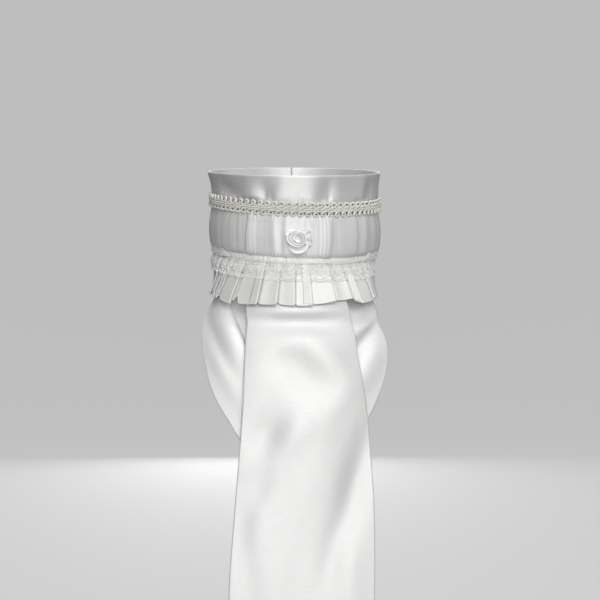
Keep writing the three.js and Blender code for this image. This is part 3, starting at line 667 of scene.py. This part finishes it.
LACE_BOTTOM = 14.2
LACE_TOP = 3.1
LACE_SIDE_TOP = -3.2
SIDE_FADE = (50, 62)
LACE_MIDDLE = -1
LACE_FALL = 0.75
LACE_OVER = 0.55
MM_PER_DEG = 1.06
TAPE_CLEAR = 2.1
CLEAR_FADE = (2.2, 4.2)
CRINKLE_LIFT = 0.16
CRINKLES = ((1.7, 0.9), (0.4, 1.1))
LACE_UNIT = 6.5
NET_ROW = 2.35
NET_START = 3
NET_HEIGHT = 3.6
NET_RING = 1.15
NET_THREAD = 0.2
FLOWER_DROP = 8.2
FLOWER_CLEAR = 3
FLOWER_THREAD = 0.24
FLOWER_MIDDLE = 0.6
FLOWER_REACH = 1.75
FLOWER_LOOP = (0.95, 0.62)
SCALLOPS = (-0.36, -0.18, 0, 0.18, 0.36)
SCALLOP_RING = (0.52, 0.62, 0.19, 10)
SCALLOP_HEIGHT = 1.7
SCALLOP_BOW = 0.9
EDGE_BOW = 1.1
CORD_STEP = 0.35
HEADER = 1.9
HEADER_CORDS = ((0, 0.24), (HEADER, 0.22))  # each cord's drop from the lace's top, and its radius
EDGE_CORDS = ((-1, 0.3), (-2.5, 0.22))  # the same from the lace's bottom
BAR_PITCH = 1.6
BAR_POINTS = 4
BAR_THREAD = 0.23


def lace_top(deg):
    """Drop of the lace's upper edge: at both sides it stands up over the tape"""
    return lerp(LACE_TOP, LACE_SIDE_TOP, smoothstep(np.abs(deg - LACE_MIDDLE), *SIDE_FADE))


def lace_lift(deg):
    """Height of the lace over the cone: across each panel, then down over its folded edge"""
    total = np.zeros_like(deg)
    for k in range(1, len(PLEATS)):
        start, edge = PLEATS[k - 1]["edge"], PLEATS[k]["edge"]
        inside = (deg >= start) & (deg <= edge)
        fallen = smoothstep(deg - start, 0, LACE_FALL)
        edge_lift = pleat_shape(k - 1, start) if k > 1 else 0
        total = np.where(inside, lerp(edge_lift, pleat_shape(k, deg), fallen), total)
    return total


def lace_place(deg, drop):
    """A point of the lace; where it stands over the tape it clears that"""
    deg = np.clip(deg, PLEATS[0]["edge"], PLEATS[-1]["edge"])
    on_tape = 1 - smoothstep(drop, *CLEAR_FADE)
    crinkle = CRINKLE_LIFT
    for by_deg, by_drop in CRINKLES:
        crinkle = crinkle * np.sin(deg * by_deg + drop * by_drop)
    over = LACE_OVER + crinkle + TAPE_CLEAR * on_tape
    return frill_place(deg, drop, lace_lift(deg), STACK, over)


def lace_thread(deg, drop, radius, closed=False, sides=4):
    return tube_parts(lace_place(deg, drop), hoop_normal(deg), radius, sides, closed)


def lace_ring(middle, drop, wide, tall, radius, steps=12, turned=0):
    """A small closed ring of thread. Its sizes are in millimetres, along the lace and down it."""
    turn = np.linspace(0, 2 * np.pi, steps + 1)[:-1]
    across = wide * np.cos(turn)
    down = tall * np.sin(turn)
    x = across * cos_deg(turned) - down * sin_deg(turned)
    y = across * sin_deg(turned) + down * cos_deg(turned)
    return lace_thread(middle + x / MM_PER_DEG, drop + y, radius, closed=True)


def lace_flower(middle, drop):
    """Six loops round a small ring"""
    parts = [lace_ring(middle, drop, FLOWER_MIDDLE, FLOWER_MIDDLE, FLOWER_THREAD, steps=8)]
    for turned in range(0, 360, 60):
        x = FLOWER_REACH * cos_deg(turned) / MM_PER_DEG
        y = FLOWER_REACH * sin_deg(turned)
        parts.append(lace_ring(middle + x, drop + y, *FLOWER_LOOP, FLOWER_THREAD, turned=turned))
    return parts


def lace_unit(middle):
    """One repeat: a flower among net rings, over a scallop filled with small rings"""
    top = float(lace_top(middle))
    parts = []
    net_bottom = LACE_BOTTOM - NET_HEIGHT
    rows = max(4, int(round((net_bottom - top - HEADER) / NET_ROW)))
    for row in range(rows):
        drop = lerp(top + NET_START, net_bottom, row / (rows - 1))
        for k in range(3):
            x = (k - 1 + 0.5 * (row % 2)) * LACE_UNIT / 3
            if math.hypot(x * MM_PER_DEG, drop - FLOWER_DROP) > FLOWER_CLEAR:
                parts.append(lace_ring(middle + x, drop, NET_RING, NET_RING, NET_THREAD))
    parts += lace_flower(middle, FLOWER_DROP)
    for x in SCALLOPS:
        low = LACE_BOTTOM - SCALLOP_HEIGHT + SCALLOP_BOW * math.cos(math.pi * x)
        parts.append(lace_ring(middle + x * LACE_UNIT, low, *SCALLOP_RING))
    return parts


def lace_cords():
    """The cords along the lace, two at its header and two at its edge, and the header's short bars"""
    parts = []
    reach = PLEATS[-1]["edge"]
    deg = np.arange(-reach, reach, CORD_STEP)
    phase = np.abs(np.cos(np.pi * deg / LACE_UNIT))
    for offset, radius in HEADER_CORDS:
        parts.append(lace_thread(deg, lace_top(deg) + offset, radius, sides=5))
    for offset, radius in EDGE_CORDS:
        parts.append(lace_thread(deg, LACE_BOTTOM + offset + EDGE_BOW * phase, radius, sides=5))
    for middle in np.arange(-reach + 1, reach, BAR_PITCH):
        top = float(lace_top(middle))
        drop = np.linspace(top, top + HEADER, BAR_POINTS)
        parts.append(lace_thread(middle, drop, BAR_THREAD))
    return parts


def lace():
    parts = lace_cords()
    count = int(PLEATS[-1]["edge"] / LACE_UNIT)
    for number in range(-count, count + 1):
        parts += lace_unit(number * LACE_UNIT)
    return joined("frill_lace_net", parts)


# Ribbon rose, in its own frame: X right, Y up, Z out of the collar

ROSE_DEG = -0.8
ROSE_LEVEL = -13.2
ROSE_SEAT = 0.9
PETAL_WALL = 0.35
ROUND_POWER = 2.6
OUT_POWER = 1.5
PETAL_ROUND = 0.3
PETAL_LEVEL = 0.75
RIPPLE_RATE = 6
RIPPLE_SKEW = 1.5
RIPPLE_OUT = 0.6


def rose_to_collar(points):
    """Places points of the rose's frame on the wrap"""
    origin = upright_hoop(ROSE_DEG, profile(WRAP_PROFILE, ROSE_LEVEL) + ROSE_SEAT, ROSE_LEVEL)
    x, y, z = np.moveaxis(points, -1, 0)
    return tilted(stack(x, -z, y) + origin)


def petal(name, turn, span, base, reach, low, high, curl, puckers, cup):
    """One petal: it stands up from the rose's base and its lip rolls outwards"""
    u, v = spread((-1, 1), (0, 1), (41, 15))
    angle = turn + span / 2 * u
    outline = 1 - PETAL_ROUND * np.abs(u) ** ROUND_POWER
    ripple = np.sin(RIPPLE_RATE * u + turn + RIPPLE_SKEW * u ** 2) * v ** 2
    radius = lerp(base, reach * outline, v ** OUT_POWER) + RIPPLE_OUT * puckers * ripple
    upwards = lerp(np.sin(v * np.pi / 2), v ** 4, cup)
    crest = high * (PETAL_LEVEL + (1 - PETAL_LEVEL) * outline)
    rise = lerp(low, crest, upwards) - curl * v ** 9 + puckers * ripple
    points = stack(radius * cos_deg(angle), radius * sin_deg(angle), rise)
    uvs = stack(u * reach, v * reach)
    return cloth("rose_" + name, rose_to_collar(points)[::-1], PETAL_WALL, uvs[::-1])


ROSE_PETALS = (
    # name, turn, span, base, reach, low, high, curl, puckers, cup
    ("lower_petal", -84, 124, 3.5, 9.9, 0.2, 3, 1, 0.12, 1),
    ("right_leaf", -22, 62, 3.2, 9.9, 2.3, 1, 0.5, 0.3, 0),
    ("right_upper_leaf", 24, 58, 3.2, 9.5, 2.6, 1.1, 0.5, 0.3, 0),
    ("top_leaf", 92, 110, 2.6, 6, 2, 2.2, 0.5, 0.12, 0),
    ("left_petal", 150, 76, 2.8, 8.8, 0.4, 2.4, 0.9, 0.12, 0.6),
)
# Outline of the bloom round its wound middle, which lies right of and above the rose's own middle
ROSE_OUTLINE = table(
    "turn radius",
    (-180, 9), (-162, 8.8), (-143, 8), (-120, 7.3), (-102, 7.2), (-75, 6.6), (-52, 6.4), (-36, 6.4),
    (-18, 5.7), (5, 5.5), (30, 5.6), (48, 5.7), (75, 5), (103, 5), (139, 6.4), (165, 8.4), (180, 9),
)
SLOT_OUTLINE = table(
    "turn radius",
    (-180, 0.45), (-140, 0.65), (-110, 1.3), (-95, 1.8), (-80, 1.3), (-45, 0.65), (0, 0.45), (45, 0.7),
    (90, 1.6), (135, 0.7), (180, 0.45),
)
BUD_WALL = 0.3
BUD_TURNS = 3
BUD_START = 100
BUD_LIP = 0.56
BUD_SPREAD = 0.85
BUD_MIDDLE = (0.5, 0.7)
BUD_LOW = 1.2
BUD_CREST = (5.2, 3.9)  # at the slot and at the outline
BUD_WAVE = 0.22
BUD_WAVE_RATE = 1.7
ROLL_FROM = 0.4  # share of the ribbon's width below the rolled edge
ROLL_TURN = 165
ROLL_RISE = 0.55
BUD_DEG_PER_MM = 19
BUD_WIDTH = 5
CORE_FLOOR = 2.1
CORE_DOME = 1.2
CORE_CRUMPLE = 0.15
CORE_CRUMPLES = 5
CORE_INSET = 0.7
CORE_HOLE = 0.01


def bud_point(turn, radius, rise):
    """A point of the bloom, placed round its middle"""
    x = BUD_MIDDLE[0] + radius * cos_deg(turn)
    y = BUD_MIDDLE[1] + radius * sin_deg(turn)
    return stack(x, y, rise)


def rose_bud():
    """The wound centre: a ribbon on edge, closed round a slot, whose upper edge rolls over outwards"""
    turn, up = spread((0, 360 * BUD_TURNS), (0, 1), (260, 18))
    share = turn / (360 * BUD_TURNS)
    rolled = np.clip((up - ROLL_FROM) / (1 - ROLL_FROM), 0, 1) * np.radians(ROLL_TURN)
    wave = BUD_WAVE * np.sin(np.radians(turn * BUD_WAVE_RATE))
    crest = lerp(*BUD_CREST, share) + wave
    rise = lerp(BUD_LOW, crest, np.minimum(up / ROLL_FROM, 1)) + ROLL_RISE * np.sin(rolled)
    angle = BUD_START - turn
    way = (angle + 180) % 360 - 180
    slot = read(SLOT_OUTLINE, "turn", "radius", way)
    outline = read(ROSE_OUTLINE, "turn", "radius", way)
    lip = BUD_LIP * ((outline - slot) / BUD_TURNS)
    out = 0.5 * (1 - np.cos(rolled))
    radius = lerp(slot, outline - lip, share ** BUD_SPREAD) + out * lip
    uvs = stack(turn / BUD_DEG_PER_MM, up * BUD_WIDTH)
    return cloth("rose_bud_ribbon", rose_to_collar(bud_point(angle, radius, rise)), BUD_WALL, uvs)


def rose_core():
    """The crumpled ribbon between the turns, which closes the gaps in the bud"""
    turn, out = spread((-180, 180), (CORE_HOLE, 1), (61, 14))
    crumple = CORE_CRUMPLE * np.sin(np.radians(CORE_CRUMPLES * turn) + CORE_CRUMPLES * out)
    rise = CORE_FLOOR + CORE_DOME * (1 - out) ** 2 + crumple
    radius = out * (read(ROSE_OUTLINE, "turn", "radius", turn) - CORE_INSET)
    points = bud_point(turn, radius, rise)[:, ::-1]
    return cloth("rose_core_ribbon", rose_to_collar(points), BUD_WALL, points[..., :2])


# Falls

FALL_WALL = 0.8
FALL_LIFT = 6.3
FALL_TOP_REACH = 33
FALL_TOP = -37
FALL_SIDE_END = -268
FALL_POINT = -290
HEM_ROUNDNESS = 1.9
EDGE_DROP = 0.6
FALL_BLEND = 0.12
TAIL_BLEND = 0.24
ROLL_WIDTH = 0.3
ROLL_SINK = 0.6
SIDE_LIMIT = 0.995

DRAPE = table(
    "z half_width half_depth centre_y",
    (-292, 165, 57, -23), (-250, 160, 57, -18), (-200, 150, 56, -12), (-150, 130, 55, -8),
    (-110, 104, 54, -5.5), (-80, 79, 53, -3), (-66, 65, 51, 0), (-58, 55.6, 50.2, 1.2),
    (-50, 51.2, 49.8, 2.2), (-37, 50.6, 49.4, 3.9), (-20, 51, 49.4, 3.9),
)
FALL_SIDES = table(
    "z left right",
    (-290, -46, 46), (-250, -46.5, 48), (-200, -43, 48.5), (-150, -38.8, 46.5), (-131, -37.4, 44),
    (-115, -36.8, 41.2), (-98, -36, 38.6), (-82, -35.2, 36.6), (-64, -34.3, 32.1), (-50, -31, 30),
    (-37, -28.5, 28.5),
)
FALL_FOLDS = table(
    "x z long wide turn lift",
    (0, -67.6, 42, 4.8, 0, 2.3), (0, -77.8, 38, 6.5, 0, -3.7), (-14, -92, 16, 7, 20, 0.6),
    (17, -98, 24, 9, -42, 1.4), (1, -110, 26, 11, -42, -2), (26, -128, 22, 9, 55, 0.7),
    (-23, -150, 16, 11, 58, -2), (-3, -147, 19, 10.5, 58, 1.7), (8, -170, 60, 14, 76, 1.4),
    (-26, -185, 14, 9, 74, -1.1), (35, -186, 60, 10, 72, -3.2), (-26, -205, 40, 9, 72, 0.8),
    (-36, -232, 55, 9, 96, -1.1), (30, -228, 45, 10, 96, 1.1), (-2, -238, 50, 12, 84, -0.9),
)
LEFT_TAIL = {
    "name": "left_tail_satin", "inset": 0, "lift": 0.6, "top_inner": -76, "top_outer": -112,
    "edges": table(
        "step inner_x inner_z outer_x outer_z roll",
        (0, -51, -40, -51, -34, 0), (0.1, -49, -51, -51, -50, 0), (0.155, -48.5, -59, -52.6, -58.5, 0.3),
        (0.19, -47, -63, -58, -66.5, 1.6), (0.22, -45, -66.5, -62, -72, 4),
        (0.34, -37.5, -84, -62.5, -94, 4), (0.48, -30, -102, -57, -122, 1), (0.64, -8, -126, -40, -152, 0),
        (0.82, 14, -160, -18, -190, 0), (1, 30, -196, 6, -222, 0),
    ),
    "folds": table(
        "x z long wide turn lift",
        (-53, -90, 34, 5, -68, -1.2), (-46, -112, 34, 6, -62, 1),
    ),
}
RIGHT_TAIL = {
    "name": "right_tail_satin", "inset": 2.4, "lift": -2.6, "top_inner": -46, "top_outer": 104,
    "edges": table(
        "step inner_x inner_z outer_x outer_z roll",
        (0, -38, -41, 50, -36, 0), (0.12, -43, -55, 50, -54, 0), (0.17, -45, -62, 51, -62.5, 0),
        (0.22, -46, -68, 54.5, -72, 0), (0.4, -47, -95, 60, -104, 0),
        (0.6, -42, -128, 44, -144, 0), (0.8, -38, -162, 16, -186, 0), (1, -32, -196, -10, -222, 0),
    ),
    "folds": table(
        "x z long wide turn lift",
        (36, -68, 12, 5, 10, 1), (45, -71.5, 9, 4, -12, -1.2), (46, -78, 18, 5, 42, 2.6),
        (44, -88, 24, 5.5, 49, -2.6), (48, -104, 26, 8, 60, 1.8),
    ),
}


def drape_place(x, z, lift, over):
    """A point of the falls: lift swells the ellipse at its height, over moves the cloth out from that"""
    half_width = read(DRAPE, "z", "half_width", z) + lift
    half_depth = read(DRAPE, "z", "half_depth", z) + lift
    sine = np.clip(x / half_width, -SIDE_LIMIT, SIDE_LIMIT)
    cosine = np.sqrt(1 - sine ** 2)
    y = read(DRAPE, "z", "centre_y", z) - (half_depth + over) * cosine
    return stack((half_width + over) * sine, y, z)


def under_collar(deg, over):
    """A point just under the collar's lower edge"""
    return hoop(deg, profile(BAND_PROFILE, BAND_BOTTOM) + over, BAND_BOTTOM - EDGE_DROP)


def fall_lift(folds, x, z):
    total = np.zeros_like(x)
    for fold in folds:
        dx, dz = x - fold["x"], z - fold["z"]
        along = (dx * cos_deg(fold["turn"]) + dz * sin_deg(fold["turn"])) / fold["long"]
        across = (dz * cos_deg(fold["turn"]) - dx * sin_deg(fold["turn"])) / fold["wide"]
        total += fold["lift"] * bell(along) * bell(across)
    return total


def hang(name, hung, draped, free):
    """A sheet that hangs from the collar's edge and blends into the drape, with its mean width and length"""
    points = lerp(hung, draped, free[..., None])[:, ::-1]
    width = running(lengths(points, 0).mean(axis=1))
    length = running(lengths(points, 1).mean(axis=0))
    return cloth(name, points, FALL_WALL, stack(*grid(width, length))), (width[-1], length[-1])


def front_fall():
    across, down = spread((0, 1), (0, 1), (110, 250))
    side = 2 * across - 1
    hem = lerp(FALL_POINT, FALL_SIDE_END, np.abs(side) ** HEM_ROUNDNESS)
    z = lerp(FALL_TOP, hem, down)
    x = lerp(read(FALL_SIDES, "z", "left", z), read(FALL_SIDES, "z", "right", z), across)
    free = smoothstep((FALL_TOP - z) / (FALL_TOP - FALL_POINT), 0, FALL_BLEND)
    draped = drape_place(x, z, FALL_LIFT * free, free * fall_lift(FALL_FOLDS, x, z))
    return hang("front_fall_satin", under_collar(FALL_TOP_REACH * side, 0), draped, free)


def tail(shape):
    """One of the tails, rolled along its inner edge. A grid that runs to the left is turned round."""
    across, down = spread((0, 1), (0, 1), (90, 140))

    def edge(column):
        return read(shape["edges"], "step", column, down)

    x = lerp(edge("inner_x"), edge("outer_x"), across)
    z = lerp(edge("inner_z"), edge("outer_z"), across)
    free = smoothstep(down, 0, TAIL_BLEND)
    rise = np.sqrt(1 - (1 - np.minimum(across / ROLL_WIDTH, 1)) ** 2)
    roll = edge("roll") * rise * (1 - ROLL_SINK * smoothstep(across, ROLL_WIDTH, 1))
    over = free * (fall_lift(shape["folds"], x, z) + roll)
    draped = drape_place(x, z, shape["lift"] * free, over)
    hung = under_collar(lerp(shape["top_inner"], shape["top_outer"], across), -shape["inset"])
    if shape["top_inner"] > shape["top_outer"]:
        hung, draped, free = hung[::-1], draped[::-1], free[::-1]
    return hang(shape["name"], hung, draped, free)


# Back fastening strip

STRIP_REACH = 14
STRIP_SPAN = (-22, 18.5)
STRIP_WALL = 1.5
CROSS_SEAMS = (-20.6, 17.1)
CROSS_SPAN = (168.4, 192.6)
CROSS_OVER = 0.03
UPRIGHT_SEAMS = (167.3, 192.7)
UPRIGHT_SPAN = (-19.5, 16.6)
UPRIGHT_STITCH = 1.5


def strip_radius(level):
    return profile(BAND_PROFILE, level) + GAP + STRIP_WALL


def back_fastening():
    deg, level = spread((180 - STRIP_REACH, 180 + STRIP_REACH), STRIP_SPAN, (60, 60))
    return round_cloth("back_fastening_strip", deg, strip_radius(level), level, STRIP_WALL)


def fastening_stitches():
    """The seams round the strip: two across it and two up it"""
    parts = []
    for level in CROSS_SEAMS:
        radius = strip_radius(level) + CROSS_OVER
        parts += stitch_line(lambda deg: (hoop(deg, radius, level), hoop_normal(deg)), *CROSS_SPAN)
    for deg in UPRIGHT_SEAMS:
        parts += stitch_line(
            lambda level: (hoop(deg, strip_radius(level) + STITCH_OVER, level), hoop_normal(deg)),
            *UPRIGHT_SPAN, UPRIGHT_STITCH,
        )
    return joined("fastening_stitches", parts)


# Materials

NOISE_LOW = 0.3  # a noise's usual range, which is spread over the wanted one
NOISE_HIGH = 0.7


def new_material(name, colour, **sockets):
    """A material with its node tree and shader; sockets are named with _ for spaces"""
    material = bpy.data.materials.new(name)
    material.use_nodes = True
    shader = material.node_tree.nodes["Principled BSDF"]
    shader.inputs["Base Color"].default_value = (*colour, 1)
    for socket, value in sockets.items():
        shader.inputs[socket.replace("_", " ")].default_value = value
    return material, material.node_tree, shader


def add_node(tree, kind, **values):
    """A new shader node. Values named in_... set its inputs, with _ for spaces, and others its settings."""
    node = tree.nodes.new("ShaderNode" + kind)
    for name, value in values.items():
        if name.startswith("in_"):
            node.inputs[name[3:].replace("_", " ")].default_value = value
        else:
            setattr(node, name, value)
    return node


def scaled_uv(tree, along, up, target):
    """Feeds a texture the UVs at their own scale along the piece and up it"""
    uv = add_node(tree, "UVMap", uv_map="UVMap")
    scaled = add_node(tree, "Mapping", in_Scale=(along, up, 1))
    tree.links.new(uv.outputs["UV"], scaled.inputs["Vector"])
    tree.links.new(scaled.outputs["Vector"], target.inputs["Vector"])


def grain(tree, along, up, detail):
    """Noise stretched over the UVs, along and up in repeats per metre"""
    noise = add_node(tree, "TexNoise", in_Scale=1.0, in_Detail=detail, in_Roughness=0.5)
    scaled_uv(tree, along, up, noise)
    return noise.outputs["Fac"]


def add_bump(tree, shader, layers):
    """Chains bump nodes, one for each (height output, strength, distance in metres)"""
    normal = None
    for height, strength, distance in layers:
        bump = add_node(tree, "Bump", in_Strength=strength, in_Distance=distance)
        tree.links.new(height, bump.inputs["Height"])
        if normal is not None:
            tree.links.new(normal, bump.inputs["Normal"])
        normal = bump.outputs["Normal"]
    tree.links.new(normal, shader.inputs["Normal"])


def vary(tree, shader, factor, socket, low, high):
    """Lets a noise move one of the shader's numbers between two values"""
    scaled = add_node(
        tree, "MapRange", in_From_Min=NOISE_LOW, in_From_Max=NOISE_HIGH, in_To_Min=low, in_To_Max=high,
    )
    tree.links.new(factor, scaled.inputs["Value"])
    tree.links.new(scaled.outputs["Result"], shader.inputs[socket])


def vary_colour(tree, shader, factor, low, high):
    ramp = add_node(tree, "ValToRGB")
    ends = zip(ramp.color_ramp.elements, (NOISE_LOW, NOISE_HIGH), (low, high))
    for element, position, colour in ends:
        element.position = position
        element.color = (*colour, 1)
    tree.links.new(factor, ramp.inputs["Fac"])
    tree.links.new(ramp.outputs["Color"], shader.inputs["Base Color"])


def satin(name, low, high, rough, gloss, slack, drawn=0.75):
    """White satin: a soft sheen drawn out along the cloth, fine weave lines and faint slack"""
    material, tree, shader = new_material(
        name, high, Roughness=0.45, Metallic=gloss, Specular_IOR_Level=0.5, Sheen_Weight=0.1,
        Sheen_Roughness=0.4, Anisotropic=drawn, Anisotropic_Rotation=0.25,
    )
    tangent = add_node(tree, "Tangent", direction_type="UV_MAP", uv_map="UVMap")
    tree.links.new(tangent.outputs["Tangent"], shader.inputs["Tangent"])
    vary_colour(tree, shader, grain(tree, 160, 1400, 3), low, high)
    vary(tree, shader, grain(tree, 240, 1800, 3), "Roughness", *rough)
    add_bump(tree, shader, [
        (grain(tree, 70, 90, 2), slack, 0.0005),
        (grain(tree, 500, 5200, 2), 0.12, 0.0001),
        (grain(tree, 5200, 900, 1), 0.08, 0.00008),
    ])
    return material


def gimp(name, low, high):
    """Ivory cord wound with fine thread, whose turns lie across it"""
    material, tree, shader = new_material(name, high, Roughness=0.62, Sheen_Weight=0.2, Sheen_Roughness=0.5)
    vary_colour(tree, shader, grain(tree, 900, 0.3, 2), low, high)
    winding = add_node(tree, "TexWave", in_Scale=0.3, in_Distortion=0.5)
    scaled_uv(tree, 2400, 160, winding)
    add_bump(tree, shader, [(winding.outputs["Fac"], 0.8, 0.0003)])
    return material


def thread(name, low, high):
    """Matt thread with a little unevenness along it"""
    material, tree, shader = new_material(name, high, Roughness=0.7, Sheen_Weight=0.15, Sheen_Roughness=0.5)
    noise = grain(tree, 1500, 0.4, 2)
    vary_colour(tree, shader, noise, low, high)
    add_bump(tree, shader, [(noise, 0.5, 0.0001)])
    return material


# Making every piece

def dress(piece, material, slot, *nodes):
    """Gives a piece its material, and lets it ride on the tie in place of its nodes. Its slot is not used.
    """
    piece.data.materials.append(material)
    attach(piece, "root")
    if nodes:
        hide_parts(*nodes)
    return piece


# Each satin's name, darker and lighter tone, range of roughness, gloss, slack and how far its sheen is drawn
COLLAR_SATIN = satin("collar_satin", (0.8, 0.795, 0.79), (0.845, 0.842, 0.838), (0.64, 0.72), 0.58, 0.4)
WRAP_SATIN = satin("wrap_satin", (0.78, 0.775, 0.77), (0.825, 0.822, 0.818), (0.64, 0.72), 0.3, 0.5)
# The fall's satin is toned darker than the collar's: painted shade that holds back the key light, which
# falls full on the fall.
FALL_SATIN = satin("fall_satin", (0.73, 0.727, 0.722), (0.775, 0.772, 0.768), (0.56, 0.62), 0.38, 0.35, 0.35)
TAIL_SATIN = satin("tail_satin", (0.8, 0.796, 0.79), (0.845, 0.842, 0.837), (0.54, 0.6), 0.3, 0.4, 0.35)
# The frill's satin is toned lighter than the collar's: painted light that lifts its pleats where they turn
# sideways into shade.
FRILL_SATIN = satin("frill_satin_cloth", (0.825, 0.821, 0.81), (0.87, 0.867, 0.856), (0.62, 0.7), 0.3, 0.3)
# The tape's satin is toned lighter still: painted light that lifts it in the shade below the wrap's lower
# edge.
TAPE_SATIN = satin("tape_satin", (0.87, 0.866, 0.858), (0.91, 0.906, 0.898), (0.5, 0.6), 0.1, 0.3)
GIMP = gimp("ivory_gimp", (0.88, 0.86, 0.79), (0.94, 0.925, 0.87))
LACE = thread("lace_thread", (0.82, 0.82, 0.81), (0.9, 0.9, 0.885))
STITCH = thread("stitch_thread", (0.62, 0.62, 0.6), (0.78, 0.78, 0.76))
# The leaves' ribbon is a darker, bluer grey than the rose's: painted shade on leaves that turn away from the
# light.
SHADED_LEAF_RIBBON = satin("rose_leaf_painted_shade", (0.7, 0.71, 0.745), (0.79, 0.8, 0.83), (0.45, 0.55), 0.12, 0.3)
# The rose's ribbon keeps its own cool tint, and is toned lighter than the satin as painted light that lifts
# the shade between its turns.
ROSE = satin("rose_ribbon", (0.88, 0.885, 0.9), (0.94, 0.945, 0.955), (0.4, 0.5), 0.1, 0.2)

band = dress(neck_band(), COLLAR_SATIN, "satin", "neck_band")

tape = dress(heading_tape(), TAPE_SATIN, "satin", "heading_tape")
tape_thread = dress(tape_stitches(), STITCH, "satin")
wrap = dress(gathered_wrap(), WRAP_SATIN, "satin", "pleated_wrap")
trims = [tape, tape_thread, dress(braid(), GIMP, "braid", "braid_trim")]
for name, *shape in ROSE_PETALS:
    # Leaves take the darker ribbon, whose tone is painted shade.
    ribbon = SHADED_LEAF_RIBBON if "leaf" in name else ROSE
    trims.append(dress(petal(name, *shape), ribbon, "rose_ribbon", "rose_petals"))
trims.append(dress(rose_bud(), ROSE, "rose_ribbon", "rose_bud"))
trims.append(dress(rose_core(), ROSE, "rose_ribbon"))

frill_piece, frill_run = frill()
dress(frill_piece, FRILL_SATIN, "satin", "frill_satin")
lace_piece = dress(lace(), LACE, "lace", "frill_lace")

fall, fall_size = front_fall()
dress(fall, FALL_SATIN, "satin", "front_fall")
left, left_size = tail(LEFT_TAIL)
dress(left, TAIL_SATIN, "satin", "left_tail")
right, right_size = tail(RIGHT_TAIL)
dress(right, TAIL_SATIN, "satin", "right_tail")

strip = dress(back_fastening(), COLLAR_SATIN, "satin", "back_fastening")
strip_thread = dress(fastening_stitches(), STITCH, "satin")


# Studio: a pale bowl, soft lights and the camera, all in metres

WORLD_GLOW = 0.17
WHITE_LIGHT = (1, 1, 1, 1)
BOWL_FLOOR = -0.34
BOWL_FLAT = 2
BOWL_CURVE = 1.4
BOWL_HEIGHT = 1.9
AIM = (0, -0.04, -0.06)
LIGHTS = (
    # name, place, size, power
    ("key", (0.12, -1.35, 0.85), 1.2, 14.8),
    ("front", (-0.05, -1.6, -0.1), 0.8, 9.5),
    ("left_top", (-0.8, -0.9, 0.9), 0.6, 1),
    ("right_side", (1.2, -0.1, 0.6), 0.6, 2),
    ("top", (0, 0.1, 1.4), 0.8, 3),
    ("rear", (0, 1.3, 1.3), 0.9, 15),
    ("rear_low", (0, 1.7, 0), 0.5, 8),
)
CAMERA_AZIMUTH = -3
CAMERA_DISTANCE = 1.1
CAMERA_HEIGHT = -0.0614
CAMERA_RIGHT = 0.0035
CAMERA_LENS = 94.6


def backdrop():
    """A wide shallow bowl: its flat floor curves up into the background all round"""
    turn = np.linspace(0, 90, 24)
    away = np.array([0, BOWL_FLAT / 2, *(BOWL_FLAT + BOWL_CURVE * sin_deg(turn)), BOWL_FLAT + BOWL_CURVE])
    height = np.array([0, 0, *(BOWL_CURVE * (1 - cos_deg(turn))), BOWL_HEIGHT]) + BOWL_FLOOR
    angle, step = grid(np.linspace(0, 360, 97), np.arange(len(away)))
    points = stack(away[step] * cos_deg(angle), away[step] * sin_deg(angle), height[step])
    faces = grid_quads(*angle.shape)
    bowl = mesh_object("backdrop", points.reshape(-1, 3) / MM, faces, np.zeros((angle.size, 2)))
    paper = new_material(
        "backdrop_paper", (0.12, 0.12, 0.121), Roughness=0.9, Specular_IOR_Level=0.2,
        Emission_Color=WHITE_LIGHT, Emission_Strength=0.48,
    )
    bowl.data.materials.append(paper[0])
    bowl.visible_diffuse = False
    bowl.visible_glossy = False


def area_light(name, place, size, power):
    """A round white light that points at the tie"""
    data = bpy.data.lights.new(name, "AREA")
    data.shape = "DISK"
    data.size = size
    data.energy = power
    light = placed(name, data)
    light.location = place
    light.rotation_euler = (Vector(place) - Vector(AIM)).to_track_quat("Z", "Y").to_euler()


def world_light():
    world = bpy.data.worlds.new("studio")
    bpy.context.scene.world = world
    world.use_nodes = True
    background = world.node_tree.nodes["Background"]
    background.inputs["Color"].default_value = WHITE_LIGHT
    background.inputs["Strength"].default_value = WORLD_GLOW


def camera():
    """A level camera in front of the tie, a little to its left"""
    azimuth = math.radians(CAMERA_AZIMUTH)
    back = Vector((math.sin(azimuth), -math.cos(azimuth), 0))
    right = Vector((-back.y, back.x, 0))
    data = bpy.data.cameras.new("camera")
    data.sensor_width = 36
    data.lens = CAMERA_LENS
    obj = placed("camera", data)
    place = back * CAMERA_DISTANCE + right * CAMERA_RIGHT + Vector((0, 0, CAMERA_HEIGHT))
    obj.matrix_world = Matrix((
        (right.x, 0, back.x, place.x),
        (right.y, 0, back.y, place.y),
        (0, 1, 0, place.z),
        (0, 0, 0, 1),
    ))
    bpy.context.scene.camera = obj


backdrop()
for light_row in LIGHTS:
    area_light(*light_row)
world_light()
camera()
view = bpy.context.scene.view_settings
view.view_transform = "Standard"
view.look = "None"
